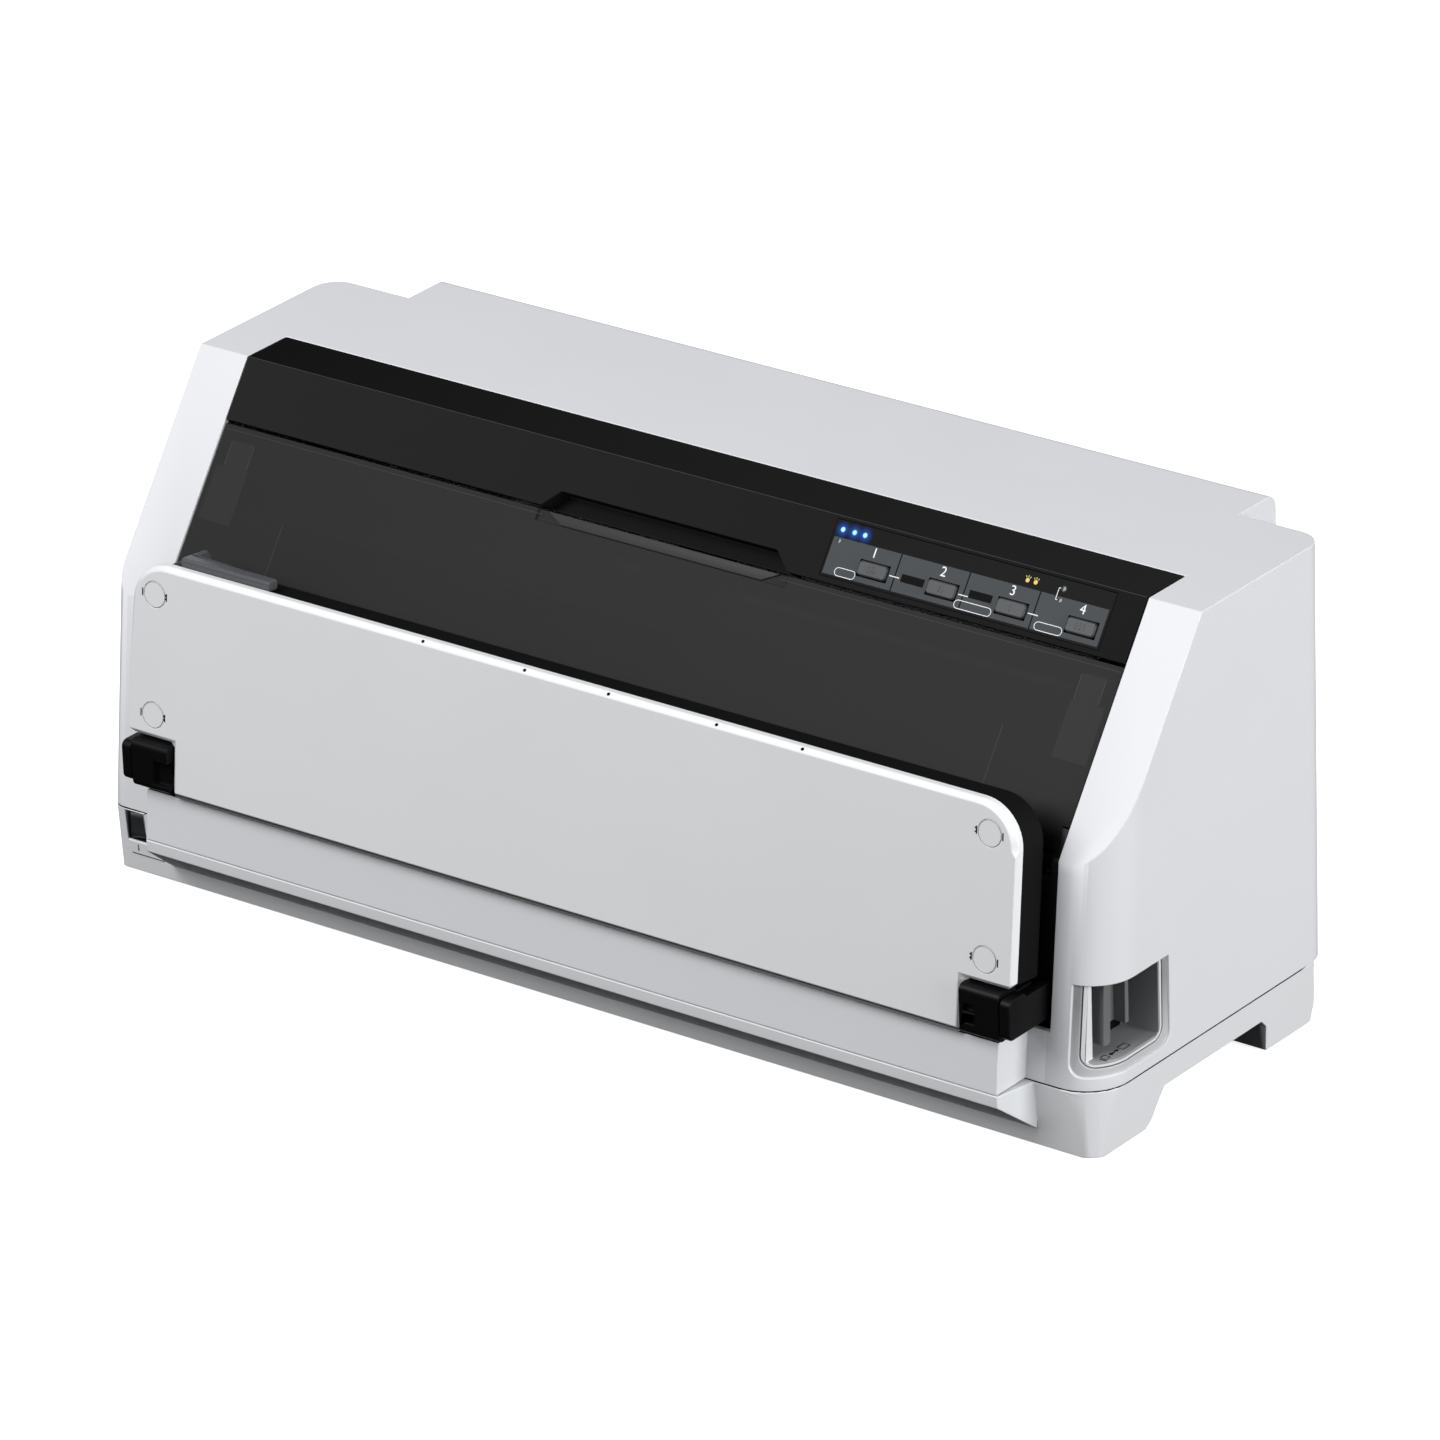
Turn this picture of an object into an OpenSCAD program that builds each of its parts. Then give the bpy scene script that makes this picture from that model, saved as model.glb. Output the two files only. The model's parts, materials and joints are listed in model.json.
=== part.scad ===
// Wide dot matrix printer with a fold-down front tray, a smoked cover and a rear tractor feed.
// X runs along the print line, Y from the front to the back, and Z up.
// The origin is at the middle of the outer box, on the surface that the feet stand on.

/* [Case] */
// Width of the case
case_w = 520; // [500:5:560]
// Height of the case top
case_h = 218; // [214:1:224]
// Height of the seam between the two case halves
seam_z = 30.4; // [28:0.2:32]
// Height of the bend between the front wall and the slope
bend_z = 126.7; // [124:0.5:129]
// How far the front wall leans back between the seam and the bend
front_run = 10.5; // [9:0.5:12]
// How far behind the bend the slope meets the top
crease_d = 65.8; // [63:0.2:69]
// How far behind the bend the back wall stands
back_d = 155; // [153:1:160]
// How far behind the bend the hood over the paper exit ends
hood_d = 182; // [178:1:184]
// How far behind the bend the rear feed unit ends
rear_d = 247; // [240:1:250]
// How far the hinges stand out in front of the bend
front_d = 33; // [32:0.5:36]
// Wall thickness of the case halves
wall = 3; // [2:0.5:3.5]
// Corner radius of the front of the case, seen from above
front_r = 20; // [14:1:24]
// Corner radius of the back of the case, seen from above
back_r = 12; // [8:1:16]
// Width of the front opening
opening_w = 468; // [460:1:476]
// Width of the lower front strip
strip_w = 446; // [440:1:450]
// Gap at the seams between the case parts
seam_gap = 0.4; // [0.2:0.1:0.6]

/* [Front tray] */
// Width of the tray
tray_w = 460; // [450:1:462]
// Height of the tray's top edge
tray_top = 157; // [150:1:160]
// Height of the tray's bottom edge
tray_bottom = 55.5; // [55:0.5:58]
// Thickness of the pale front plate
tray_plate = 5.5; // [5:0.5:8]
// Thickness of the black paper bed behind it
tray_bed_t = 15; // [13:0.5:17]
// Corner radius at the top of the tray
tray_r = 19; // [14:1:22]
// Width of the tray between its two hinges
tray_hinge_w = 413; // [405:1:413]

/* [Control panel] */
// Height of the panel's lower edge
panel_low_z = 194.8; // [192:0.2:198]
// How far behind the bend the panel ends on the top
panel_back_d = 92; // [80:1:100]
// Distance between two buttons
button_pitch = 34.7; // [33:0.1:36]
// Left edge of the label plate
label_x0 = 79.4; // [76:0.2:82]
// Right edge of the label plate
label_x1 = 219.4; // [216:0.2:222]
// Width of a button
button_w = 14.4; // [12:0.2:15]
// Height of a button along the slope
button_h = 6.5; // [5:0.1:7]
// How far a button goes in
button_travel = 0.8; // [0.5:0.1:1]

/* [Mechanism] */
// Height of the paper path
path_z = 84; // [83:0.5:85]
// Radius of the feed rollers
feed_r = 9; // [8:0.5:10]
// Teeth of each feed gear
gear_teeth = 44; // [44:2:44]
// Teeth of the feed motor's pinion
pinion_teeth = 14; // [12:1:16]
// Radius of the carriage shaft
carriage_shaft_r = 6; // [5:0.5:7]
// Radius of the carriage belt's pulleys
pulley_r = 7; // [6:0.5:8]
// Distance of each tractor from the middle
tractor_x = 110; // [80:5:130]
// Radial clearance of a running fit
run = 0.05; // [0.02:0.01:0.08]

/* [Hidden] */

$fn = 48;
half_w = case_w / 2;
opening_x = opening_w / 2;
strip_x = strip_w / 2;
y_bend = -(rear_d + front_d) / 2 + front_d;
front_lean = atan(front_run / (bend_z - seam_z));
slope_angle = atan((case_h - bend_z) / crease_d);
base_floor_z = 0.8;
// Spans that reach past the case on every side, for cuts
all_x = [-300, 300];
all_d = [-60, 200];

// Place of a plane that lies d behind the bend
function fy(d) = y_bend + d;
// Distance along the slope of a point at height z
function slope_at(z) = (z - bend_z) / sin(slope_angle);
// Corner v between two edges with inward normals n1 and n2, taken in by t
function inset_corner(v, n1, n2, t) = v + t * (n1 + n2) / (1 + n1 * n2);

// Bar along X from x0 with its section drawn in the Y-Z plane
module along_x(x0, len) translate([x0, 0, 0]) rotate([90, 0, 90]) linear_extrude(len) children();
// Round bar along X
module rod_x(x0, len, d, z, r) translate([x0, fy(d), z]) rotate([0, 90, 0]) cylinder(r = r, h = len);
// Box from its low and high corners, where d is measured from the bend
module block(x, d, z) translate([x[0], fy(d[0]), z[0]]) cube([x[1] - x[0], d[1] - d[0], z[1] - z[0]]);
// Places its children on both sides
module both_sides() {
  children();
  mirror([1, 0, 0]) children();
}
// Frame on the slope: X across, Y up the slope, Z out of the case
module on_slope(x, s, n) translate([0, fy(0), bend_z]) rotate([slope_angle, 0, 0])
  translate([x, s, n]) children();
// Box on the slope from its low and high corners
module slope_block(x, s, n) on_slope(x[0], s[0], n[0]) cube([x[1] - x[0], s[1] - s[0], n[1] - n[0]]);
// Rectangle with four rounded corners, around its own centre
module round_rect(w, h, r) {
  square([w - 2 * r, h], center = true);
  square([w, h - 2 * r], center = true);
  for (x = [-1, 1], y = [-1, 1]) translate([x * (w / 2 - r), y * (h / 2 - r)]) circle(r = r);
}

// ---- Case ----
wall_dir = [sin(front_lean), cos(front_lean)];
slope_dir = [cos(slope_angle), sin(slope_angle)];
wall_in = [wall_dir[1], -wall_dir[0]];
slope_in = [slope_dir[1], -slope_dir[0]];
wall_foot = [fy(-front_run) - wall_dir[0] * 10, seam_z - wall_dir[1] * 10];

// Side outline of the case, taken in by t
module case_side(t) polygon([
  wall_foot + t * wall_in,
  inset_corner([fy(0), bend_z], wall_in, slope_in, t),
  inset_corner([fy(crease_d), case_h], slope_in, [0, -1], t),
  [fy(back_d) - t, case_h - t],
  [fy(back_d) - t, seam_z - 10]
]);
// Plan of the case with rounded front corners, starting at Y = 0
module front_plan(t) {
  translate([-(half_w - t), front_r]) square([2 * (half_w - t), 300]);
  translate([-(half_w - front_r), t]) square([2 * (half_w - front_r), front_r]);
  for (x = [-1, 1]) translate([x * (half_w - front_r), front_r]) circle(r = front_r - t);
}
// Plan of the case with rounded back corners, ending at Y = 0
module back_plan(t) {
  translate([-(half_w - t), -300]) square([2 * (half_w - t), 300 - back_r]);
  translate([-(half_w - back_r), -300]) square([2 * (half_w - back_r), 300 - t]);
  for (x = [-1, 1]) translate([x * (half_w - back_r), -back_r]) circle(r = back_r - t);
}
// The case as a solid block above the seam, taken in by t
module case_block(t, low = seam_z) intersection() {
  along_x(-half_w, case_w) case_side(t);
  translate([0, fy(0), bend_z]) rotate([-front_lean, 0, 0])
    translate([0, 0, -150]) linear_extrude(300) front_plan(t);
  translate([0, fy(back_d), low]) linear_extrude(case_h) back_plan(t);
}

hood_x = 217;
hood_low_z = 150;
hood_edge_r = 6;
// The hood over the paper exit, taken in by t
module hood_block(t) along_x(-hood_x + t, 2 * (hood_x - t)) {
  translate([fy(back_d) - 10, hood_low_z - t])
    square([hood_d - back_d + 10 - t, case_h - hood_low_z - hood_edge_r + t]);
  translate([fy(back_d) - 10, case_h - hood_edge_r])
    square([hood_d - back_d + 10 - hood_edge_r, hood_edge_r - t]);
  translate([fy(hood_d) - hood_edge_r, case_h - hood_edge_r]) circle(r = hood_edge_r - t);
}

strip_top_z = 53.4;
strip_foot_d = -30.4;
strip_head_d = -28.1;
// Outline of the front strip in the Y-Z plane
module strip_side(t) polygon([
  [fy(strip_foot_d + t), seam_z], [fy(strip_head_d + t), strip_top_z],
  [fy(-6), strip_top_z], [fy(-6), seam_z]
]);

window_x = 247;
window_back_d = 35.8;
window_z = [40, 76];
window_r = 6;
window_rim = 3.5;
window_rim_depth = 1;
// The window that wraps the right front corner, grown by t
module window_block(t, depth = 30) intersection() {
  along_x(window_x - t - 10, depth + 10) {
    translate([fy(-30), window_z[0] - t + window_r])
      square([30 + window_back_d + t, window_z[1] - window_z[0] - window_r + 2 * t]);
    translate([fy(-30), window_z[0] - t]) square([30 + window_back_d + t - window_r, 12]);
    translate([fy(window_back_d) + t - window_r, window_z[0] - t + window_r]) circle(r = window_r);
  }
  translate([0, fy(60), 0]) rotate([90, 0, 0]) linear_extrude(100) {
    translate([window_x - t, window_z[0] - t + window_r])
      square([40, window_z[1] - window_z[0] - window_r + 2 * t]);
    translate([window_x - t + window_r, window_z[0] - t]) square([40, 12]);
    translate([window_x - t + window_r, window_z[0] - t + window_r]) circle(r = window_r);
  }
}

screw_d = [90, 140];
screw_x = 250;
pan_post_x = 200;
pan_post_d = [14, 132];
pan_z = 36;
pan_t = 1.5;
screw_r = 1.75;
rear_opening_x = 180;
rear_opening_z = [54, 149];
parallel_x = [-251.5, -196];
parallel_z = [104, 119];
usb_x = [-251, -239];
usb_z = [84, 95];
inlet_x = [224, 250];
inlet_z = [56, 78];

// Upper half of the case, with the hood and the front strip
module upper_case() color([0.87, 0.88, 0.90]) {
  difference() {
    union() {
      difference() {
        union() {
          case_block(0, seam_z + seam_gap);
          hood_block(0);
        }
        case_block(wall, 0);
        hood_block(wall);
        block([-opening_x, opening_x], [-40, panel_back_d], [strip_top_z, case_h + 10]);
        block([-strip_x + wall, strip_x - wall], [-40, 10], [0, strip_top_z + 10]);
      }
      difference() {
        along_x(-strip_x, strip_w) strip_side(0);
        along_x(-strip_x + wall, strip_w - 2 * wall) polygon([
          [fy(strip_foot_d + wall), seam_z - 5], [fy(strip_head_d + wall), strip_top_z - 2.5],
          [fy(strip_head_d + 1), strip_top_z], [fy(strip_head_d + 1), strip_top_z + 5],
          [fy(5), strip_top_z + 5], [fy(5), seam_z - 5]
        ]);
      }
      both_sides() for (d = screw_d)
        translate([screw_x, fy(d), seam_z + seam_gap]) cylinder(r = 7.5, h = 20);
    }
    translate([0, 0, seam_z + seam_gap - 50]) block(all_x, all_d, [0, 50]);
    window_block(0);
    difference() {
      window_block(window_rim);
      case_block(window_rim_depth, 0);
      translate([0, 0, window_z[1]]) block(all_x, all_d, [0, 50]);
    }
    both_sides() for (d = screw_d) translate([screw_x, fy(d), seam_z - 1])
      cylinder(r = screw_r + run, h = 17);
    block([-rear_opening_x, rear_opening_x], [back_d - 15, back_d + 5], rear_opening_z);
    block(parallel_x, [back_d - 15, back_d + 5], parallel_z);
    block(usb_x, [back_d - 15, back_d + 5], usb_z);
    block(inlet_x, [back_d - 15, back_d + 5], inlet_z);
  }
}

foot_d = [8, 130];
foot_x = 232;
switch_x = [-250, -241.5];
switch_z = [15.2, 29.6];
base_w = 512;
arch_low_z = 17;
// Side outline of the base
module base_side() polygon([
  [fy(-8), base_floor_z], [fy(27), base_floor_z], [fy(31), 4], [fy(34.8), 11.3], [fy(38.5), arch_low_z],
  [fy(108), arch_low_z], [fy(112.3), 13], [fy(114), base_floor_z], [fy(146.7), base_floor_z],
  [fy(back_d - 3), seam_z], [fy(-front_run), seam_z]
]);
// Front outline of the base, narrower at its foot
module base_front(t) polygon([
  [-base_w / 2 + t, base_floor_z], [base_w / 2 - t, base_floor_z],
  [half_w - t, seam_z + 4], [-half_w + t, seam_z + 4]
]);
// The base as a solid block, taken in by t
module base_block(t) intersection() {
  translate([0, fy(200), 0]) rotate([90, 0, 0]) linear_extrude(300) base_front(t);
  translate([0, fy(-front_run), 0]) linear_extrude(60) front_plan(t);
  translate([0, fy(back_d - 3), 0]) linear_extrude(60) back_plan(t);
}

// Lower half of the case, with an arch between its front and rear feet
module lower_case() color([0.84, 0.86, 0.87]) difference() {
  union() {
    difference() {
      union() {
        intersection() {
          base_block(0);
          along_x(-half_w, case_w) base_side();
        }
        intersection() {
          along_x(-half_w, case_w) polygon([
            [fy(-9), 8.5], [fy(-30.2), 25], [fy(strip_foot_d), seam_z], [fy(-9), seam_z]
          ]);
          linear_extrude(60) polygon([
            [-strip_x, fy(strip_foot_d - 1)], [strip_x, fy(strip_foot_d - 1)],
            [strip_x + 5, fy(-8)], [-strip_x - 5, fy(-8)]
          ]);
        }
      }
      intersection() {
        base_block(wall);
        along_x(-half_w, case_w) polygon([
          [fy(-5), 4], [fy(25), 4], [fy(36), arch_low_z + wall], [fy(110), arch_low_z + wall],
          [fy(117), 4], [fy(143.5), 4], [fy(back_d - 6), seam_z + 5],
              [fy(-front_run + wall), seam_z + 5]
        ]);
      }
      along_x(-strip_x + wall, strip_w - 2 * wall) polygon([
        [fy(-6), 12], [fy(-27), 26.5], [fy(strip_foot_d + wall), seam_z + 2], [fy(-4), seam_z + 2]
      ]);
      block(all_x, all_d, [seam_z, seam_z + 20]);
    }
    both_sides() {
      for (d = screw_d)
        translate([screw_x, fy(d), d > 110 ? base_floor_z : arch_low_z])
          cylinder(r = 6, h = seam_z + seam_gap - (d > 110 ? base_floor_z : arch_low_z));
      for (d = pan_post_d) translate([pan_post_x, fy(d), 2]) cylinder(r = 6, h = pan_z - 2);
    }
  }
  both_sides() {
    for (d = foot_d) translate([foot_x, fy(d), -1]) cylinder(r = 8 + run, h = 3.8);
    for (d = screw_d) {
      translate([screw_x, fy(d), 0]) cylinder(r = screw_r + run, h = 40);
      translate([screw_x, fy(d), 0]) cylinder(r = 3.6, h = arch_low_z + 2.5);
    }
  }
  block(switch_x, [-20, 0], switch_z);
}

// Four round feet
module rubber_feet() color([0.12, 0.12, 0.12]) both_sides() for (d = foot_d)
  translate([foot_x, fy(d), 0]) cylinder(r = 8, h = 2.8);

// Screws that hold the two halves together from below
module case_screws() color([0.6, 0.6, 0.62]) both_sides() for (d = screw_d)
  translate([screw_x, fy(d), arch_low_z + 0.5]) difference() {
    union() {
      cylinder(r = 3.4, h = 2);
      cylinder(r = screw_r, h = 28);
    }
    translate([0, 0, -1]) cylinder(r = 1.6, h = 2, $fn = 6);
  }

// ---- Control panel ----
panel_s0 = slope_at(panel_low_z);
panel_x = opening_x - 0.5;
label_s = [slope_at(196.8), slope_at(216.8)];
label_t = 1;
button_s = slope_at(202.65);
button_x0 = 104.2;
button_gap = 0.4;
flange_n = -4.6;
pocket_half = [65, 56];
pocket_top_s = slope_at(201.1);
pocket_depth = 8;
board_n = -12;
board_t = 1.6;
led_x = [83.5, 89.4, 94.7];
led_s = slope_at(213.5);
spot_s = slope_at(209.5);
spots = [[83.5, spot_s], [194.4, led_s], [194.4, spot_s]];
led_r = 1.2;
board_post_r = 2.5;
board_post_inset = 1.5;

function button_x(i) = button_x0 + i * button_pitch;

// Places of the lamps on the slope
module led_places() {
  for (x = led_x) on_slope(x, led_s, 0) children();
  for (p = spots) on_slope(p[0], p[1], 0) children();
}
// Holes around the four buttons between two depths
module button_holes(n0, n1) for (i = [0:3])
  slope_block([button_x(i) - button_w / 2 - button_gap, button_x(i) + button_w / 2 + button_gap],
    [button_s - button_h / 2 - button_gap, button_s + button_h / 2 + button_gap], [n0, n1]);
// Finger pocket outline at the lower edge of the panel
module pocket_shape(grow) polygon([
  [-pocket_half[0] - grow, panel_s0 - 1], [pocket_half[0] + grow, panel_s0 - 1],
  [pocket_half[1] + grow, pocket_top_s + grow], [-pocket_half[1] - grow, pocket_top_s + grow]
]);

// Panel over the crease, with the finger pocket in its lower edge
module control_panel() color([0.10, 0.10, 0.11]) difference() {
  union() {
    intersection() {
      difference() {
        case_block(0, 0);
        case_block(wall, -1);
      }
      block([-panel_x, panel_x], [-10, panel_back_d - seam_gap], [100, case_h]);
      slope_block([-panel_x, panel_x], [panel_s0, 400], [-300, 1]);
    }
    difference() {
      on_slope(0, 0, -pocket_depth - 2) linear_extrude(pocket_depth + 1) pocket_shape(2);
      on_slope(0, 0, -pocket_depth) linear_extrude(pocket_depth + 1) pocket_shape(0);
      slope_block([-100, 100], [0, panel_s0], [-20, 5]);
    }
    for (x = [label_x0 + board_post_inset, label_x1 + board_post_inset],
        s = [label_s[0] + 2.5, label_s[1] - 0.5])
      on_slope(x, s, board_n + board_t) cylinder(r = board_post_r, h = -board_n - board_t - wall + 0.5);
  }
  on_slope(0, 0, -wall - 1) linear_extrude(wall + 5) pocket_shape(0);
  slope_block([label_x0, label_x1], label_s, [-label_t, 2]);
  button_holes(-wall - 1, 2);
  led_places() translate([0, 0, -5]) cylinder(r = led_r + run, h = 10);
}

// Plate around the four buttons
module label_plate() color([0.20, 0.22, 0.24]) difference() {
  slope_block([label_x0 + 0.2, label_x1 - 0.2], [label_s[0] + 0.2, label_s[1] - 0.2], [-label_t, -0.2]);
  button_holes(-2, 2);
  led_places() translate([0, 0, -5]) cylinder(r = led_r + run, h = 10);
}

// One button, with the flange that keeps it in the panel
module button(i) color([0.24, 0.25, 0.26]) {
  on_slope(button_x(i), button_s, flange_n) linear_extrude(1.2 - flange_n)
    round_rect(button_w, button_h, 1.6);
  slope_block([button_x(i) - button_w / 2 - 1.6, button_x(i) + button_w / 2 + 1.6],
    [button_s - button_h / 2 - 1.4, button_s + button_h / 2 + 1.4], [flange_n, -wall - 0.1]);
}
module button_1() button(0);
module button_2() button(1);
module button_3() button(2);
module button_4() button(3);

// Board with its lamps and the switches under the buttons
module key_board() color([0.10, 0.30, 0.20]) {
  slope_block([label_x0 - 2, label_x1 + 5], [label_s[0] - 0.5, label_s[1] + 3],
      [board_n, board_n + board_t]);
  for (i = [0:3]) slope_block([button_x(i) - 3, button_x(i) + 3], [button_s - 3, button_s + 3],
    [board_n + board_t, flange_n - button_travel - 0.2]);
  led_places() translate([0, 0, board_n + board_t]) cylinder(r = led_r, h = -board_n - board_t - 0.3);
}

// ---- Smoked cover ----
// Gap between the cover and the panel
cover_gap = 1.3;
cover_x = opening_x - 0.7;
cover_s = [3.5, panel_s0 - cover_gap];
cover_n = [-4, -1];
// How far the lowered lip under the finger pocket reaches down the cover
lip_s = 5;
cover_axis_n = -5;
cover_pin_r = 2.5;
cover_ear_x = [225.5, 230];
cover_rib_x = [214.5, 227];
hinge_cheek_x = [230.4, opening_x - 0.6];

// Cover over the carriage, which tilts on two pins at its lower corners
module printer_cover() color([0.17, 0.17, 0.18, 0.8]) {
  difference() {
    slope_block([-cover_x, cover_x], cover_s, cover_n);
    slope_block([-pocket_half[0], pocket_half[0]], [cover_s[1] - lip_s, cover_s[1] + 5], [-2.5, 0]);
    both_sides() slope_block([hinge_cheek_x[0] - 0.4, cover_x + 5], [0, 14], [-10, 5]);
  }
  both_sides() {
    for (x = cover_rib_x) slope_block([x, x + 2], [cover_s[0] + 4, cover_s[1] - 9], [-8, cover_n[0]]);
    slope_block(cover_ear_x, [0, 12], [cover_axis_n - 3, cover_n[0]]);
    on_slope(cover_ear_x[0], 0, cover_axis_n) rotate([0, 90, 0])
      cylinder(r = 3.4, h = cover_ear_x[1] - cover_ear_x[0]);
    on_slope(cover_ear_x[1] - 1, 0, cover_axis_n) rotate([0, 90, 0])
      cylinder(r = cover_pin_r, h = hinge_cheek_x[1] - cover_ear_x[1] + 0.6);
  }
}

// ---- Front guide: the black inner wall behind the tray ----
guide_top_z = 118;
slot_x = 206;
slot_z = [80, 92];
// Wall with the paper slot, and the two cheeks that hold the cover's pins
module front_guide() color([0.11, 0.11, 0.12]) difference() {
  union() {
    block([-panel_x, panel_x], [0, 4], [pan_z + pan_t, guide_top_z]);
    both_sides() difference() {
      union() {
        block(hinge_cheek_x, [0, 9], [guide_top_z - 6, 127]);
        block([hinge_cheek_x[1] - 6, hinge_cheek_x[1]], [0, 4], [guide_top_z - 6, guide_top_z]);
      }
      on_slope(hinge_cheek_x[0] - 1, 0, cover_axis_n) rotate([0, 90, 0])
        cylinder(r = cover_pin_r + run, h = 10);
      slope_block([200, 240], [-20, 40], [-1.2, 20]);
    }
  }
  block([-slot_x, slot_x], [-1, 5], slot_z);
}

// ---- Front tray ----
pivot_d = -26.5;
pivot_z = 67;
pivot_r = 3;
tray_face_d = -24.7;
tray_lean = 5.84;
tray_pin_x = 231.9;
knuckle_x = [tray_hinge_w / 2 + 0.4, 226.5];
arm_x = [226.9, tray_pin_x];
notch_top = (79.2 - bend_z) / cos(tray_lean);
cap_x = 217;
cap_z = [143.6, 89.7];
cap_r = 5.8;

// Frame of the tray: X across, Y into the machine, Z up its face
module on_tray(x, y, z) translate([0, fy(tray_face_d), bend_z]) rotate([-tray_lean, 0, 0])
  translate([x, y, z]) children();
function tray_up(z) = (z - bend_z) / cos(tray_lean);
// Outline of the tray in its own plane, taken in by t
module tray_shape(t, drop = 0) difference() {
  union() {
    translate([-tray_w / 2 + t, tray_up(tray_bottom)])
      square([tray_w - 2 * t, tray_up(tray_top) - tray_r - tray_up(tray_bottom)]);
    translate([-tray_w / 2 + tray_r, tray_up(tray_bottom)])
      square([tray_w - 2 * tray_r, tray_up(tray_top) - tray_up(tray_bottom) - t - drop]);
    for (x = [-1, 1]) translate([x * (tray_w / 2 - tray_r), tray_up(tray_top) - tray_r - drop])
      circle(r = tray_r - t);
  }
  for (x = [-1, 1]) translate([x * (tray_hinge_w / 2 - t + 40), notch_top + t - 20])
    square([80, 40], center = true);
}
// Plate of the tray between two depths
module tray_slab(y0, y1, t, drop = 0) on_tray(0, y1, 0) rotate([90, 0, 0]) linear_extrude(y1 - y0)
  tray_shape(t, drop);
// Places of the four caps on the tray
module cap_places() for (x = [-1, 1], z = cap_z) on_tray(x * cap_x, 0, tray_up(z)) rotate([-90, 0, 0])
  children();

// Pale plate of the tray, hollow behind its face
module tray_shell() color([0.80, 0.81, 0.82]) difference() {
  tray_slab(0, tray_plate, 0);
  difference() {
    tray_slab(2.5, tray_plate + 1, 3);
    cap_places() cylinder(r = cap_r + 2.5, h = tray_plate);
  }
  cap_places() translate([0, 0, -1]) cylinder(r = cap_r + 0.1, h = tray_plate + 2);
}
// Caps over the tray's screws
module tray_caps() color([0.80, 0.81, 0.82]) cap_places() {
  cylinder(r = cap_r, h = 2.5);
  cylinder(r = 2.5, h = tray_plate);
}
bed_y = [tray_plate, tray_plate + tray_bed_t];
// Black bed behind the plate, on which the paper lies when the tray is down
module tray_bed() color([0.09, 0.09, 0.10]) difference() {
  tray_slab(bed_y[0], bed_y[1], 0.5, 1.5);
  tray_slab(bed_y[0] - 1, bed_y[1] - 3, 4, 1.5);
}
knuckle_depth = 17;
tenon_d = [-19, pivot_d + knuckle_depth];
// Knuckles of the tray, each on a tenon into the bed
module hinge_knuckles() color([0.08, 0.08, 0.09]) difference() {
  both_sides() {
    translate([knuckle_x[0], fy(pivot_d), pivot_z]) rotate([90, 0, 90])
      linear_extrude(knuckle_x[1] - knuckle_x[0]) {
        round_rect(13, 22, 3);
        translate([0, -4]) square([knuckle_depth, 12]);
      }
    block([tray_hinge_w / 2 - 0.5, knuckle_x[0] + 1], tenon_d, [pivot_z - 4, pivot_z + 8]);
  }
  both_sides() rod_x(knuckle_x[0] - 1, 30, pivot_d, pivot_z, pivot_r + run);
  for (z = [61.5, 66.5])
    block([knuckle_x[0] + 2, knuckle_x[0] + 7.5], [pivot_d - 8, pivot_d - 4], [z, z + 3.6]);
  block([-knuckle_x[0] - 8, -knuckle_x[0] + 1], [pivot_d - 8, pivot_d - 3.4], [59.5, 70.5]);
}
// Arms of the case, which carry the tray on their pins
module hinge_brackets() color([0.08, 0.08, 0.09]) both_sides() {
  translate([arm_x[0], fy(pivot_d), pivot_z]) rotate([90, 0, 90]) linear_extrude(arm_x[1] - arm_x[0]) {
    round_rect(13, 18, 3);
    translate([0, -9]) square([-pivot_d, 16]);
  }
  rod_x(knuckle_x[0] + 1, arm_x[0] - knuckle_x[0], pivot_d, pivot_z, pivot_r);
}

guide_x = [-208, -160];
guide_wall = 2.5;
guide_top = tray_up(160.5);
bed_top = tray_up(tray_top) - 1.5;
// Stop for the paper's left edge, which slides along the top of the tray
module edge_guide() color([0.45, 0.46, 0.48]) {
  on_tray(guide_x[0], bed_y[0] + 0.4, bed_top + 0.4)
    cube([guide_x[1] - guide_x[0], 6.6, guide_top - bed_top - 0.4]);
  on_tray(guide_x[0], 0, 0) rotate([90, 0, 90]) linear_extrude(guide_wall) polygon([
    [bed_y[0] + 0.4, bed_top + 0.4], [bed_y[1] + 0.4, bed_top + 0.4], [bed_y[1] + 0.4, 8],
        [bed_y[1] + 2.6, 8],
    [bed_y[1] + 3.6, 12], [bed_y[1] + 3.6, guide_top - 3], [bed_y[1] + 1, guide_top],
    [bed_y[0] + 0.4, guide_top]
  ]);
  on_tray(guide_x[0], bed_y[1] + 0.4, 8) cube([16, 1.6, 10]);
}

// ---- Paper release lever and its window ----
lever_pivot = [24, 104];
lever_x = [244, 252];
lever_rod_r = 3;
bezel_t = 2.4;
plate_x = [220, 222];
// Lining of the window
module window_bezel() color([0.80, 0.81, 0.83]) difference() {
  union() {
    intersection() {
      window_block(-0.3);
      case_block(1.2, 0);
    }
    intersection() {
      block([238, window_x + 2], [-5, window_back_d - 0.3], [window_z[0] + 0.3, window_z[1]]);
      case_block(wall + 0.2, 0);
    }
  }
  block([238 + bezel_t, 300], [0, window_back_d - bezel_t - 0.3], [window_z[0] + 0.3 + bezel_t, 100]);
  block([window_x + bezel_t, 300], [-30, 1], [window_z[0] + 0.3 + bezel_t, 100]);
}
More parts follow.
